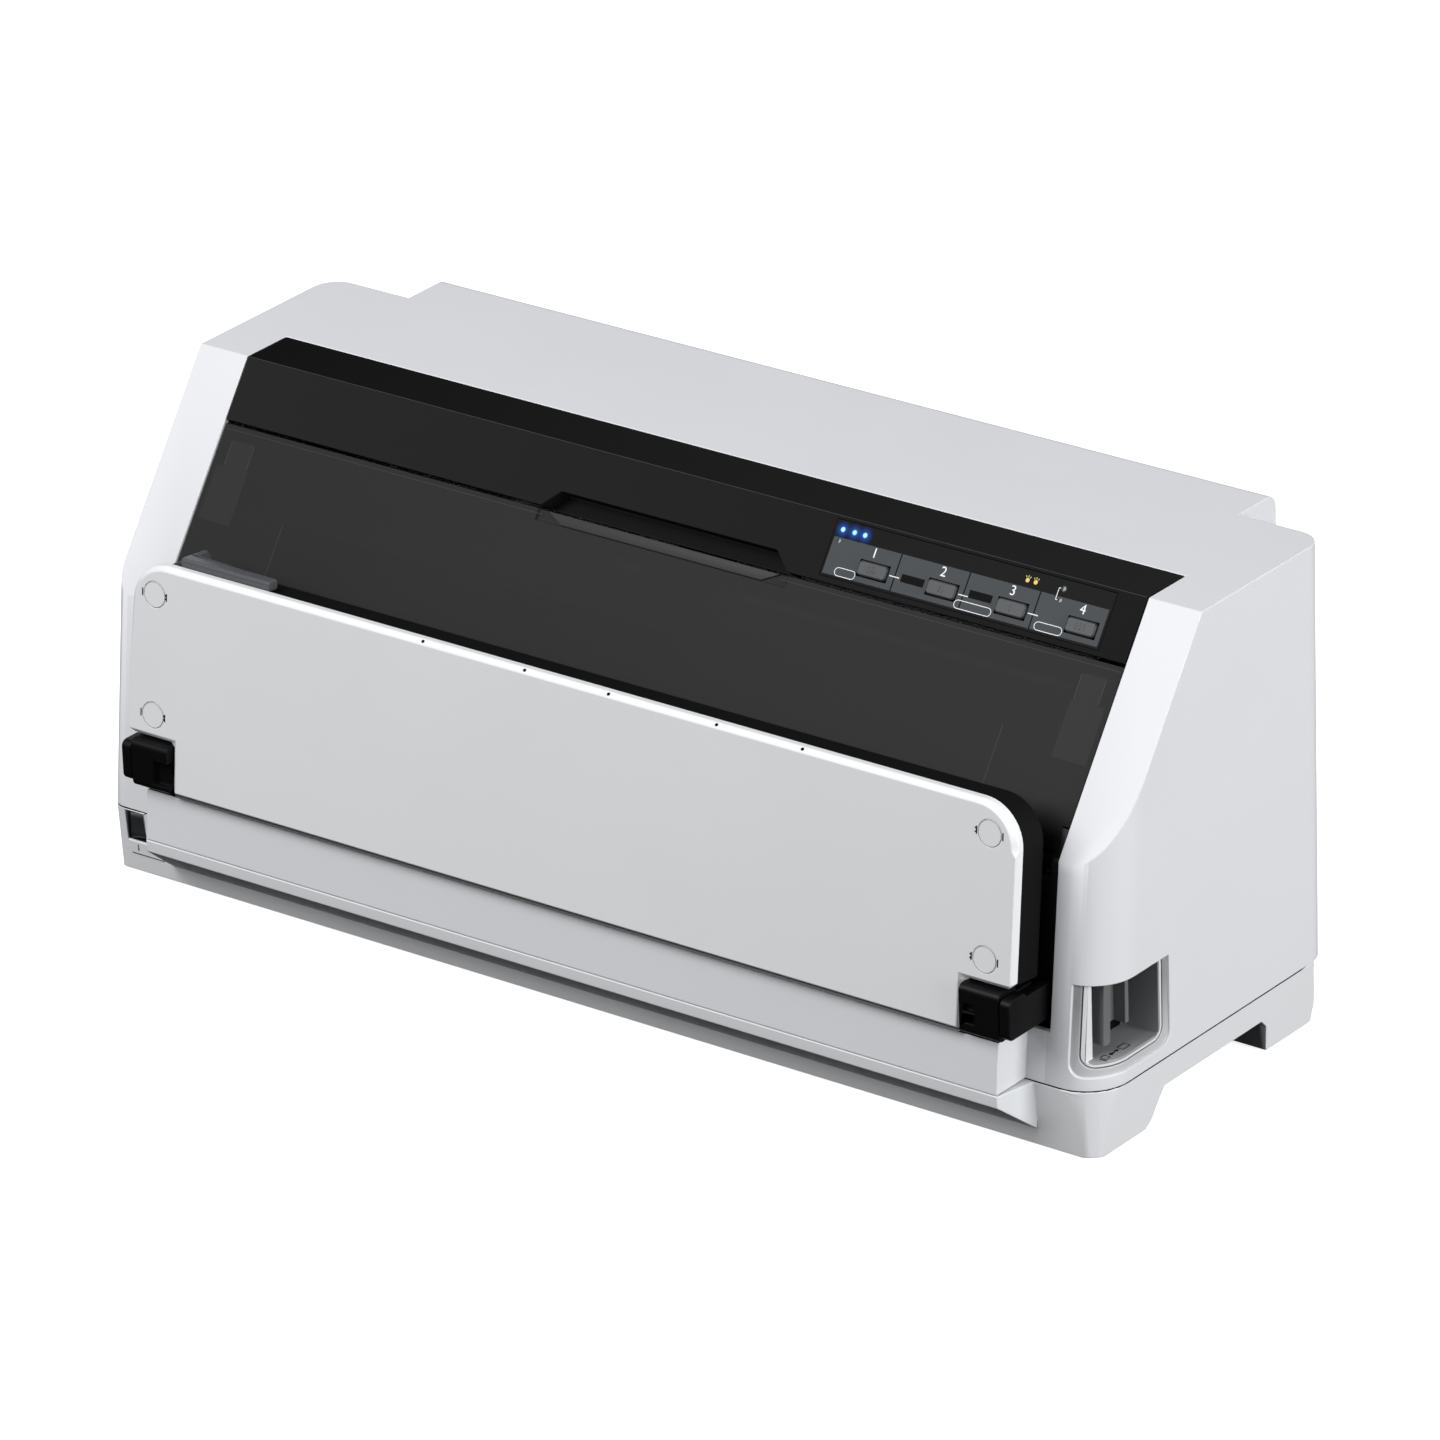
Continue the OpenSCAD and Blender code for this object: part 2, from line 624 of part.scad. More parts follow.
// Lever that frees the paper, on its shaft
module release_lever() color([0.42, 0.43, 0.45]) difference() {
  union() {
    rod_x(plate_x[0] - 3, lever_x[1] - plate_x[0] + 3, lever_pivot[0], lever_pivot[1], lever_rod_r);
    rod_x(lever_x[0], lever_x[1] - lever_x[0], lever_pivot[0], lever_pivot[1], 7);
    along_x(lever_x[0], lever_x[1] - lever_x[0]) polygon([
      [fy(17), 100], [fy(5), 76], [fy(4), 47], [fy(8), 46], [fy(11), 51], [fy(22), 51], [fy(22), 78],
      [fy(30), 100]
    ]);
  }
  block([lever_x[0] + 2, lever_x[1] + 1], [9, 19.5], [44, 82]);
}

// ---- Power switch ----
switch_pivot = [-2.5, (switch_z[0] + switch_z[1]) / 2];
switch_swing = 8;
switch_pin_r = 1.5;
// Rocker on its pin
module power_switch() color([0.07, 0.07, 0.08]) {
  translate([switch_x[0] + 1, fy(switch_pivot[0]), switch_pivot[1]]) rotate([90, 0, 90])
    rotate(-switch_swing / 2)
    linear_extrude(switch_x[1] - switch_x[0] - 2) intersection() {
      circle(r = 7.2);
      polygon([[-6.6, -6.2], [-5.6, 0], [-6.6, 6.2], [2, 6.2], [4, 0], [2, -6.2]]);
    }
  rod_x(switch_x[0] + 0.2, switch_x[1] - switch_x[0] - 0.4, switch_pivot[0], switch_pivot[1],
      switch_pin_r);
}
// Housing of the rocker
module switch_housing() color([0.10, 0.10, 0.11]) difference() {
  union() {
    block([switch_x[0] + 0.05, switch_x[1] - 0.05], [-8, 8], [switch_z[0] + 0.05, switch_z[1] - 0.05]);
    block([switch_x[0] - 1, switch_x[1] + 1], [-3, 8], [switch_z[0] - 1, switch_z[1] + 1]);
  }
  block([switch_x[0] + 0.8, switch_x[1] - 0.8], [-12, 4], [switch_z[0] + 0.4, switch_z[1] - 0.4]);
  rod_x(switch_x[0] - 3, 20, switch_pivot[0], switch_pivot[1], switch_pin_r + run);
}

// ---- Chassis ----
plate_d = [8, 140];
shaft_r = 4;
bush_r = 6.5;
feed_front = [30, path_z - feed_r];
feed_rear = [118, path_z - feed_r];
feed_ends = [feed_front, feed_rear];
carriage_axis = [92, 122];
belt_d = 118;
belt_z = [127, 133];
pulley_x = 204;
motor_shelf_z = [122.6, 124.2];
pinch_r = 6;
pinch_gap = 0.3;
pinch_shaft_r = 2;
pinch_z = path_z + pinch_gap + pinch_r;
gear_t = 7;
gear_x = -233;
gear_pitch_r = gear_teeth / 2;
pinion_pitch_r = pinion_teeth / 2;
idler_axis = (feed_front + feed_rear) / 2;
// The pinion sits where the idler has a tooth, below and in front of it
pinion_dir = -14.5 * 360 / gear_teeth;
pinion_axis = idler_axis + (gear_pitch_r + pinion_pitch_r) * [cos(pinion_dir), sin(pinion_dir)];
idler_pin_r = 3;
motor_r = 18;

// Spur gear of module 1 with straight-sided teeth, one of them centred on its local X axis
module gear(teeth, bore, t) linear_extrude(t) difference() {
  union() {
    circle(r = teeth / 2 - 1.25, $fn = 96);
    for (i = [0:teeth - 1]) rotate(i * 360 / teeth) polygon([
      [teeth / 2 - 1.6, -1.12], [teeth / 2, -0.72], [teeth / 2 + 0.85, -0.36],
      [teeth / 2 + 0.85, 0.36], [teeth / 2, 0.72], [teeth / 2 - 1.6, 1.12]
    ]);
  }
  circle(r = bore);
}
// A gear on a shaft across the machine
module gear_at(axis, teeth, bore, turn) translate([gear_x, fy(axis[0]), axis[1]]) rotate([90, 0, 90])
  rotate(turn) gear(teeth, bore, gear_t);

// Sheet pan on four posts of the base
module chassis_pan() color([0.70, 0.71, 0.73]) difference() {
  union() {
    block([-224, 224], [0, 146], [pan_z, pan_z + pan_t]);
    block([-224, 224], [144.5, 146], [pan_z, pan_z + 12]);
  }
  both_sides() for (d = pan_post_d) translate([pan_post_x, fy(d), pan_z - 1]) cylinder(r = 1.6, h = 4);
}
// Side plates, with the motor shelves and the pin of the idler gear
module side_plates() color([0.70, 0.71, 0.73]) {
  both_sides() difference() {
    union() {
      along_x(plate_x[0], plate_x[1] - plate_x[0]) polygon([
        [fy(plate_d[0]), pan_z + pan_t], [fy(plate_d[0]), 122], [fy(32), 154], [fy(plate_d[1]), 154],
        [fy(plate_d[1]), pan_z + pan_t]
      ]);
      block([186, plate_x[0]], [belt_d - 14, belt_d + 16], motor_shelf_z);
    }
    for (p = feed_ends) rod_x(plate_x[0] - 1, 4, p[0], p[1], bush_r);
    rod_x(plate_x[0] - 1, 4, carriage_axis[0], carriage_axis[1], carriage_shaft_r);
    rod_x(plate_x[0] - 1, 4, lever_pivot[0], lever_pivot[1], lever_rod_r + run);
    translate([pulley_x, fy(belt_d), motor_shelf_z[0] - 1]) cylinder(r = journal_r + run, h = 4);
  }
  rod_x(gear_x - 0.5, -plate_x[1] - gear_x + 0.5, idler_axis[0], idler_axis[1], idler_pin_r);
}
// Bushes of the two feed shafts
module roller_bushes() color([0.90, 0.90, 0.86]) both_sides() for (p = feed_ends) difference() {
  union() {
    rod_x(plate_x[0] - 2, 4.5, p[0], p[1], bush_r);
    rod_x(plate_x[0] - 2, 2, p[0], p[1], bush_r + 1.5);
  }
  rod_x(plate_x[0] - 3, 8, p[0], p[1], shaft_r + run);
}
rubber_x = [-150, -50, 50, 150];
rubber_half = 20;
guide_t = 1.2;
belt_cut_x = [-181, -168];
platen_d = [61, 77];
// Sheets under the paper, cut out for the feed rollers
module paper_bed() color([0.55, 0.56, 0.58]) difference() {
  union() {
    block([-plate_x[0], plate_x[0]], [4, platen_d[0]], [path_z - guide_t - 0.8, path_z - 0.8]);
    block([-plate_x[0], plate_x[0]], [platen_d[1], plate_d[1]], [path_z - guide_t - 0.8, path_z - 0.8]);
    block([-178, 178], [plate_d[1], 182], [path_z - guide_t - 0.8, path_z - 0.8]);
  }
  for (x = rubber_x, p = feed_ends)
    block([x - rubber_half - 2, x + rubber_half + 2], [p[0] - 7, p[0] + 7], [path_z - 8, path_z]);
  both_sides() for (p = feed_ends)
    block([plate_x[0] - 2.4, plate_x[0] + 1], [p[0] - 9, p[0] + 9], [path_z - 8, path_z]);
  block(belt_cut_x, [feed_rear[0] - 13, 200], [path_z - 8, path_z]);
}
// Bar under the print head
module platen() color([0.25, 0.26, 0.28])
  block([-plate_x[0], plate_x[0]], platen_d, [70, path_z - 0.5]);
// A feed shaft with its gear
module shaft_line(p) {
  rod_x(gear_x - 1, plate_x[1] + 3 - gear_x, p[0], p[1], shaft_r);
  gear_at(p, gear_teeth, shaft_r - 0.5, 0);
}
// Feed shaft in front of the platen
module feed_shaft_front() color([0.75, 0.76, 0.78]) shaft_line(feed_front);
belt_pulley_r = 5.5;
belt_pulley_x = -178;
// Feed shaft behind the platen, with the pulley of the tractors' belt
module feed_shaft_rear() color([0.75, 0.76, 0.78]) {
  shaft_line(feed_rear);
  rod_x(belt_pulley_x, 6, feed_rear[0], feed_rear[1], belt_pulley_r);
}
// The rubber rolls of one feed shaft
module rubbers(p) for (x = rubber_x) difference() {
  rod_x(x - rubber_half, 2 * rubber_half, p[0], p[1], feed_r);
  rod_x(x - rubber_half - 1, 2 * rubber_half + 2, p[0], p[1], shaft_r);
}
// Rolls of the front feed shaft
module feed_rubbers_front() color([0.13, 0.13, 0.13]) rubbers(feed_front);
// Rolls of the rear feed shaft
module feed_rubbers_rear() color([0.13, 0.13, 0.13]) rubbers(feed_rear);
// Gear between the two feed shafts
module idler_gear() color([0.92, 0.92, 0.88])
  gear_at(idler_axis, gear_teeth, idler_pin_r + run, 180 / gear_teeth);
// Pinion of the feed motor, on its shaft
module motor_pinion() color([0.80, 0.68, 0.35]) {
  gear_at(pinion_axis, pinion_teeth, 1.5, pinion_dir + 180 + 180 / pinion_teeth);
  rod_x(gear_x - 5, 6 + gear_t, pinion_axis[0], pinion_axis[1], 2);
}
pan_motor_x = -247;
pan_motor_len = 11;
drive_shaft_r = 2;
// Feed motor and carriage motor
module motors() color([0.55, 0.56, 0.58]) {
  // Flat feed motor outside the left side plate, on two posts
  difference() {
    union() {
      rod_x(pan_motor_x, pan_motor_len, pinion_axis[0], pinion_axis[1], motor_r);
      for (p = motor_posts) {
        rod_x(pan_motor_x + pan_motor_len - 1.5, 1.5, p[0], p[1], 5);
        rod_x(pan_motor_x + pan_motor_len - 1, -plate_x[1] - pan_motor_x - pan_motor_len + 1, p[0],
            p[1], 3);
      }
    }
    rod_x(gear_x - 6, 9, pinion_axis[0], pinion_axis[1], drive_shaft_r + run);
  }
  // Carriage motor under its shelf
  difference() {
    translate([pulley_x, fy(belt_d), motor_shelf_z[0] - 17]) cylinder(r = 13.5, h = 17);
    translate([pulley_x, fy(belt_d), motor_shelf_z[0] - 12]) cylinder(r = drive_shaft_r + run, h = 20);
  }
}
motor_posts = [[pinion_axis[0] - 17, pinion_axis[1] - 7], [pinion_axis[0] + 17, pinion_axis[1] - 7]];
pinch_ear_x = [-76, -24, 24, 76, 124, 176, -124, -176];
// Beams that hold the pinch rollers over the paper
module pinch_carriers() color([0.20, 0.20, 0.22]) for (p = feed_ends) difference() {
  union() {
    block([-plate_x[0], plate_x[0]], [p[0] - 6, p[0] + 6], [98.5, 100.5]);
    for (x = pinch_ear_x) block([x - 1, x + 1], [p[0] - 4, p[0] + 4], [86.5, 98.5]);
  }
  rod_x(-200, 400, p[0], pinch_z, pinch_shaft_r + run);
}
// One pinch roller with its shaft
module pinch_line(p) {
  rod_x(-200, 400, p[0], pinch_z, pinch_shaft_r);
  for (x = rubber_x) rod_x(x - rubber_half, 2 * rubber_half, p[0], pinch_z, pinch_r);
}
// Pinch roller over the front feed shaft
module pinch_roller_front() color([0.16, 0.16, 0.17]) pinch_line(feed_front);
// Pinch roller over the rear feed shaft
module pinch_roller_rear() color([0.16, 0.16, 0.17]) pinch_line(feed_rear);

// ---- Carriage ----
rail_d = [44, 47];
rail_z = [103, 116];
// Where the carriage parks, from the middle
carriage_park = -140;
carriage_half = 32;
horn_x = [19.5, 23];
head_d = [60, 78];
head_half = 13;
strand_d = belt_d - pulley_r - 0.3;
belt_t = 1.2;
// Round shaft that the carriage slides on
module carriage_shaft() color([0.82, 0.83, 0.85])
  rod_x(-plate_x[1], 2 * plate_x[1], carriage_axis[0], carriage_axis[1], carriage_shaft_r);
// Rail that keeps the carriage level
module carriage_rail() color([0.70, 0.71, 0.73]) {
  block([-plate_x[0], plate_x[0]], rail_d, rail_z);
  block([-plate_x[0], plate_x[0]], [rail_d[0], rail_d[1] + 3], [rail_z[0] - 1.5, rail_z[0]]);
}
// Carriage, with the clamp for its belt
module carriage() color([0.14, 0.14, 0.15]) translate([carriage_park, 0, 0]) difference() {
  union() {
    block([-carriage_half, carriage_half], [81, 103], [110, 132]);
    block([-carriage_half, carriage_half], [40.5, 82], [116.4, 120]);
    block([-carriage_half + 6, carriage_half - 6], [40.5, rail_d[0] - 0.3], [109, 117]);
    block([-carriage_half + 6, carriage_half - 6], [rail_d[1] + 0.3, 51], [109, 117]);
    block([-10, 10], [102, strand_d + 2], [124, belt_z[1] + 3]);
  }
  rod_x(-50, 100, carriage_axis[0], carriage_axis[1], carriage_shaft_r + run);
  block([-head_half - 0.2, head_half + 0.2], head_d, [100, 125]);
  both_sides() block([horn_x[0] - 0.5, horn_x[1] + 0.5], [65.5, 72.5], [100, 125]);
  block([-12, 12], [strand_d - belt_t - 0.3, strand_d + 0.3], [belt_z[0] - 0.4, belt_z[1] + 0.4]);
}
// Print head with its cooling fins and nose
module print_head() color([0.30, 0.31, 0.33]) translate([carriage_park, 0, 0]) difference() {
  union() {
    block([-head_half, head_half], [head_d[0] + 0.2, head_d[1] - 0.2], [92, 132]);
    block([-head_half - 4, head_half + 4], [head_d[0] + 0.2, head_d[1] - 0.2], [120, 123]);
    block([-3, 3], [66, 72], [path_z + 1.6, 92]);
  }
  for (i = [0:4])
    block([-head_half - 1, head_half + 1], [head_d[0] + 2 + i * 3.2, head_d[0] + 3.6 + i * 3.2],
        [124, 133]);
}
cartridge_half = 58;
cartridge_z = [120, 134];
knob_at = [-38, 37];
// Ribbon cartridge, with the two horns that lead the ribbon past the nose
module ribbon_cartridge() color([0.08, 0.08, 0.09]) translate([carriage_park, 0, 0]) difference() {
  union() {
    block([-cartridge_half, cartridge_half], [20, 58], cartridge_z);
    both_sides() block([18, 27], [56, 78], cartridge_z);
    both_sides() block(horn_x, [66, 72], [path_z + 3.5, cartridge_z[0]]);
  }
  translate([knob_at[0], fy(knob_at[1]), cartridge_z[1] - 8]) cylinder(r = 2 + run, h = 10);
}
// Knob that winds the ribbon
module ribbon_knob() color([0.75, 0.30, 0.12])
  translate([carriage_park + knob_at[0], fy(knob_at[1]), cartridge_z[1] + 0.3]) {
  difference() {
    cylinder(r = 9, h = 5);
    for (i = [0:11]) rotate(i * 30) translate([9.3, 0, -1]) cylinder(r = 1, h = 7);
  }
  translate([0, 0, -7.3]) cylinder(r = 2, h = 8);
}
// Outline of a belt round two pulleys, between two radii
module belt_loop(span, r0, r1) difference() {
  union() {
    square([span, 2 * r1], center = true);
    for (x = [-1, 1]) translate([x * span / 2, 0]) circle(r = r1);
  }
  square([span, 2 * r0], center = true);
  for (x = [-1, 1]) translate([x * span / 2, 0]) circle(r = r0);
}
// Belt of the carriage
module carriage_belt() color([0.10, 0.10, 0.10])
  translate([0, fy(belt_d), belt_z[0]]) linear_extrude(belt_z[1] - belt_z[0])
    belt_loop(2 * pulley_x, pulley_r + 0.3, pulley_r + 0.3 + belt_t);
journal_r = 3.15;
// Toothed pulley with its journal in the shelf, and a shaft below it
module pulley(x, journal_low, shaft_low) translate([x, fy(belt_d), 0]) {
  translate([0, 0, belt_z[0] - 0.4]) cylinder(r = pulley_r, h = belt_z[1] - belt_z[0] + 0.8);
  for (z = [belt_z[0] - 1.4, belt_z[1] + 0.4]) translate([0, 0, z]) cylinder(r = pulley_r + 2, h = 1);
  translate([0, 0, journal_low]) cylinder(r = journal_r, h = belt_z[0] - journal_low);
  translate([0, 0, shaft_low]) cylinder(r = drive_shaft_r, h = belt_z[0] - shaft_low);
}
// Pulley on the carriage motor
module drive_pulley() color([0.75, 0.76, 0.78])
  pulley(pulley_x, motor_shelf_z[0] + 0.1, motor_shelf_z[0] - 10);
// Pulley at the other end of the belt
module idler_pulley() color([0.90, 0.90, 0.86])
  pulley(-pulley_x, motor_shelf_z[0] - 1, motor_shelf_z[0] - 2);

// ---- Electronics ----
board_z = 44;
// Main board with its chips and capacitors
module main_board() color([0.10, 0.32, 0.20]) {
  block([-150, 70], [16, 136], [board_z, board_z + 1.6]);
  for (x = [-140, 60], d = [24, 128]) translate([x, fy(d), pan_z + pan_t])
    cylinder(r = 3, h = board_z - pan_z - pan_t);
  for (i = [0:3]) block([-130 + i * 45, -105 + i * 45], [90, 108], [board_z + 1.6, board_z + 5]);
  for (i = [0:4]) translate([-120 + i * 34, fy(40), board_z + 1.6]) cylinder(r = 5, h = 12);
  block([-60, 20], [120, 130], [board_z + 1.6, board_z + 12]);
}
// Power supply in its vented case
module power_supply() color([0.66, 0.67, 0.69]) difference() {
  block([84, 214], [20, 138], [pan_z + pan_t, 62]);
  for (i = [0:9]) block([96 + i * 11, 100 + i * 11], [50, 110], [60, 63]);
}
port_gap = 0.2;
// Power inlet, parallel port and square port
module rear_sockets() color([0.15, 0.15, 0.17]) {
  difference() {
    union() {
      block([inlet_x[0] + port_gap, inlet_x[1] - port_gap], [136, back_d + 0.6],
          [inlet_z[0] + port_gap, inlet_z[1] - port_gap]);
      block([inlet_x[0] - 3, inlet_x[1] - 2], [back_d - wall - 2.2, back_d - wall],
          [inlet_z[0] - 3, inlet_z[1] + 3]);
    }
    block([inlet_x[0] + 3, inlet_x[1] - 3], [142, back_d + 2], [inlet_z[0] + 4, inlet_z[1] - 4]);
  }
  for (x = [-5, 0, 5]) block([237 + x - 0.8, 237 + x + 0.8], [141, 150], [65, 69]);
  difference() {
    union() {
      block([parallel_x[0] + port_gap, parallel_x[1] - port_gap], [143, back_d + 1],
          [parallel_z[0] + port_gap, parallel_z[1] - port_gap]);
      block([usb_x[0] + port_gap, usb_x[1] - port_gap], [143, back_d + 0.6],
          [usb_z[0] + port_gap, usb_z[1] - port_gap]);
      block([-253, -194], [141.4, 143], [80, 124]);
    }
    block([parallel_x[0] + 4, parallel_x[1] - 4], [147, back_d + 3],
        [parallel_z[0] + 4, parallel_z[1] - 4]);
    block([usb_x[0] + 2, usb_x[1] - 2], [147, back_d + 3], [usb_z[0] + 2, usb_z[1] - 2]);
  }
}

// ---- Rear feed unit ----
cheek_x = [181, 184.5];
tractor_axis = [212, 80];
rod_axis = [212, 61];
rod_r = 3.5;
sprocket_r = 12.1;
sprocket_pins = 6;
tractor_floor_z = 65.6;
frame_half = 8;
rear_hinge = [hood_d + 6, 165];
rear_pin_r = 2.5;
// Frame of the rear feed unit
module rear_frame() color([0.84, 0.85, 0.87]) {
  both_sides() difference() {
    union() {
      along_x(cheek_x[0], cheek_x[1] - cheek_x[0]) polygon([
        [fy(back_d), 50], [fy(243), 50], [fy(rear_d), 54], [fy(rear_d), 150], [fy(240), 164],
        [fy(196), 172], [fy(hood_d + 0.4), 172], [fy(hood_d + 0.4), hood_low_z - 0.4],
            [fy(back_d), hood_low_z - 0.4]
      ]);
      block([cheek_x[0], 190], [back_d, back_d + 2.5], [50, hood_low_z - 0.4]);
    }
    rod_x(cheek_x[0] - 1, 6, tractor_axis[0], tractor_axis[1], shaft_r + run);
    rod_x(cheek_x[0] - 1, 6, rear_hinge[0], rear_hinge[1], rear_pin_r + run);
  }
  block([-cheek_x[0], cheek_x[0]], [back_d, 243], [50, 52.5]);
  block([-cheek_x[0], cheek_x[0]], [back_d, back_d + 2.5], [50, 54]);
  rod_x(-cheek_x[0], 2 * cheek_x[0], rod_axis[0], rod_axis[1], rod_r);
}
rear_cover_x = 180.4;
cover_drop_z = 72;
// Cover of the rear feed unit, which lifts on pins under the hood
module rear_cover() color([0.84, 0.85, 0.87]) {
  along_x(-rear_cover_x, 2 * rear_cover_x) polygon([
    [fy(rear_hinge[0] - 2), rear_hinge[1] + 4], [fy(196), rear_hinge[1] + 5.2], [fy(238.5), 161.5],
    [fy(rear_d - 2), 149], [fy(rear_d - 2), cover_drop_z], [fy(rear_d - 4.5), cover_drop_z],
    [fy(rear_d - 4.5), 148], [fy(236.8), 159], [fy(196), rear_hinge[1] + 2.7],
        [fy(rear_hinge[0] - 2), rear_hinge[1] + 1.5]
  ]);
  both_sides() {
    rod_x(rear_cover_x - 6, 10, rear_hinge[0], rear_hinge[1], rear_pin_r);
    rod_x(rear_cover_x - 6, 6, rear_hinge[0], rear_hinge[1], 4);
  }
}
// Belt from the rear feed shaft to the tractors' shaft
module feed_belt() color([0.10, 0.10, 0.10]) {
  run_vec = tractor_axis - feed_rear;
  translate([belt_pulley_x + 0.5, fy((tractor_axis[0] + feed_rear[0]) / 2),
      (tractor_axis[1] + feed_rear[1]) / 2])
    rotate([90, 0, 90]) rotate(atan2(run_vec[1], run_vec[0])) linear_extrude(5)
      belt_loop(norm(run_vec), belt_pulley_r + 0.3, belt_pulley_r + 1.3);
}
square_half = 3.2;
square_x = 171;
// Square bar along the tractor shaft's axis, h to each side of it
module square_bar(x, h)
  block(x, [tractor_axis[0] - h, tractor_axis[0] + h], [tractor_axis[1] - h, tractor_axis[1] + h]);
// Shaft of the tractors, square between its journals
module tractor_shaft() color([0.75, 0.76, 0.78]) {
  both_sides() rod_x(square_x, cheek_x[1] + 1 - square_x, tractor_axis[0], tractor_axis[1], shaft_r);
  square_bar([-square_x, square_x], square_half);
  rod_x(belt_pulley_x, 6, tractor_axis[0], tractor_axis[1], belt_pulley_r);
}
// Frame of one tractor, open towards the paper
module tractor_frame(x) color([0.16, 0.16, 0.17]) difference() {
  block([x - frame_half, x + frame_half], [190, 232], [56, 97]);
  block([x - frame_half + 2.5, x + frame_half - 2.5], [188, 240], [tractor_floor_z, 100]);
  rod_x(x - 20, 40, tractor_axis[0], tractor_axis[1], 7 + run);
  rod_x(x - 20, 40, rod_axis[0], rod_axis[1], rod_r + run);
}
door_pin_r = 1.5;
// Axis of a tractor's door
module door_axis(x) translate([x, fy(191), 99.5]) rotate([-90, 0, 0]) children();
// Ears that hold the door's pin
module tractor_ears(side, x) color([0.16, 0.16, 0.17]) for (d = [191, 227])
  difference() {
    block([x + side * (frame_half + 1.5) - 3.5, x + side * (frame_half + 1.5) + 3.5], [d, d + 4],
        [88, 103]);
    door_axis(x + side * (frame_half + 1.5)) translate([0, 0, -5])
      cylinder(r = door_pin_r + run, h = 60);
  }
// Left tractor
module tractor_left() {
  tractor_frame(-tractor_x);
  tractor_ears(-1, -tractor_x);
}
// Right tractor
module tractor_right() {
  tractor_frame(tractor_x);
  tractor_ears(1, tractor_x);
}
// Pinned wheel of a tractor, which slides on the square shaft
module sprocket(x) color([0.90, 0.90, 0.86]) difference() {
  union() {
    rod_x(x - 4, 8, tractor_axis[0], tractor_axis[1], sprocket_r);
    rod_x(x - frame_half, 2 * frame_half, tractor_axis[0], tractor_axis[1], 7);
    for (i = [1:sprocket_pins]) translate([x, fy(tractor_axis[0]), tractor_axis[1]])
      rotate([i * 360 / sprocket_pins, 0, 0])
      translate([0, 0, sprocket_r - 1]) cylinder(r = 1.6, h = 2.6);
  }
  square_bar([x - 20, x + 20], square_half + run);
}
// Wheel of the left tractor
module sprocket_left() sprocket(-tractor_x);
// Wheel of the right tractor
module sprocket_right() sprocket(tractor_x);
// Door that holds the paper down on a wheel
module tractor_door(side, x) color([0.30, 0.31, 0.33]) {
  hinge_x = x + side * (frame_half + 1.5);
  difference() {
    union() {
      block([min(hinge_x, x - side * (frame_half + 2)), max(hinge_x, x - side * (frame_half + 2))],
          [195.4, 226.6], [98.4, 100.4]);
      translate([hinge_x, fy(195.4), 99.5]) rotate([-90, 0, 0]) cylinder(r = 2.6, h = 31.2);
    }
    block([x - 2.4, x + 2.4], [197, 225], [98, 101]);
  }
  door_axis(hinge_x) cylinder(r = door_pin_r, h = 40);
}
// Door of the left tractor
module tractor_door_left() tractor_door(-1, -tractor_x);
// Door of the right tractor
module tractor_door_right() tractor_door(1, tractor_x);

upper_case();
lower_case();
rubber_feet();
case_screws();
control_panel();
label_plate();
button_1();
button_2();
button_3();
button_4();
key_board();
printer_cover();
tray_shell();
tray_bed();
tray_caps();
hinge_knuckles();
hinge_brackets();
edge_guide();
window_bezel();
release_lever();
power_switch();
switch_housing();
front_guide();
chassis_pan();
side_plates();
paper_bed();
platen();
roller_bushes();
feed_shaft_front();
feed_rubbers_front();
feed_shaft_rear();
feed_rubbers_rear();
idler_gear();
motor_pinion();
motors();
pinch_carriers();
pinch_roller_front();
pinch_roller_rear();
carriage_shaft();
carriage_rail();
carriage();
print_head();
ribbon_cartridge();
ribbon_knob();
carriage_belt();
drive_pulley();
idler_pulley();
main_board();
power_supply();
rear_sockets();
rear_frame();
rear_cover();
feed_belt();
tractor_shaft();
tractor_left();
tractor_right();
sprocket_left();
sprocket_right();
tractor_door_left();
tractor_door_right();
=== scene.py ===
# %% [markdown]
# # A wide dot matrix printer
#
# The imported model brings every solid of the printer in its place. This lesson dresses it: each
# moulding gets the soft edges that a mould leaves, each surface gets its own finish, and the small
# printed and glowing details are modelled on top.
#
# Everything is in metres. X runs along the print line, Y from the front to the back and Z up.

import json
import math

import bpy
from mathutils import Matrix, Vector


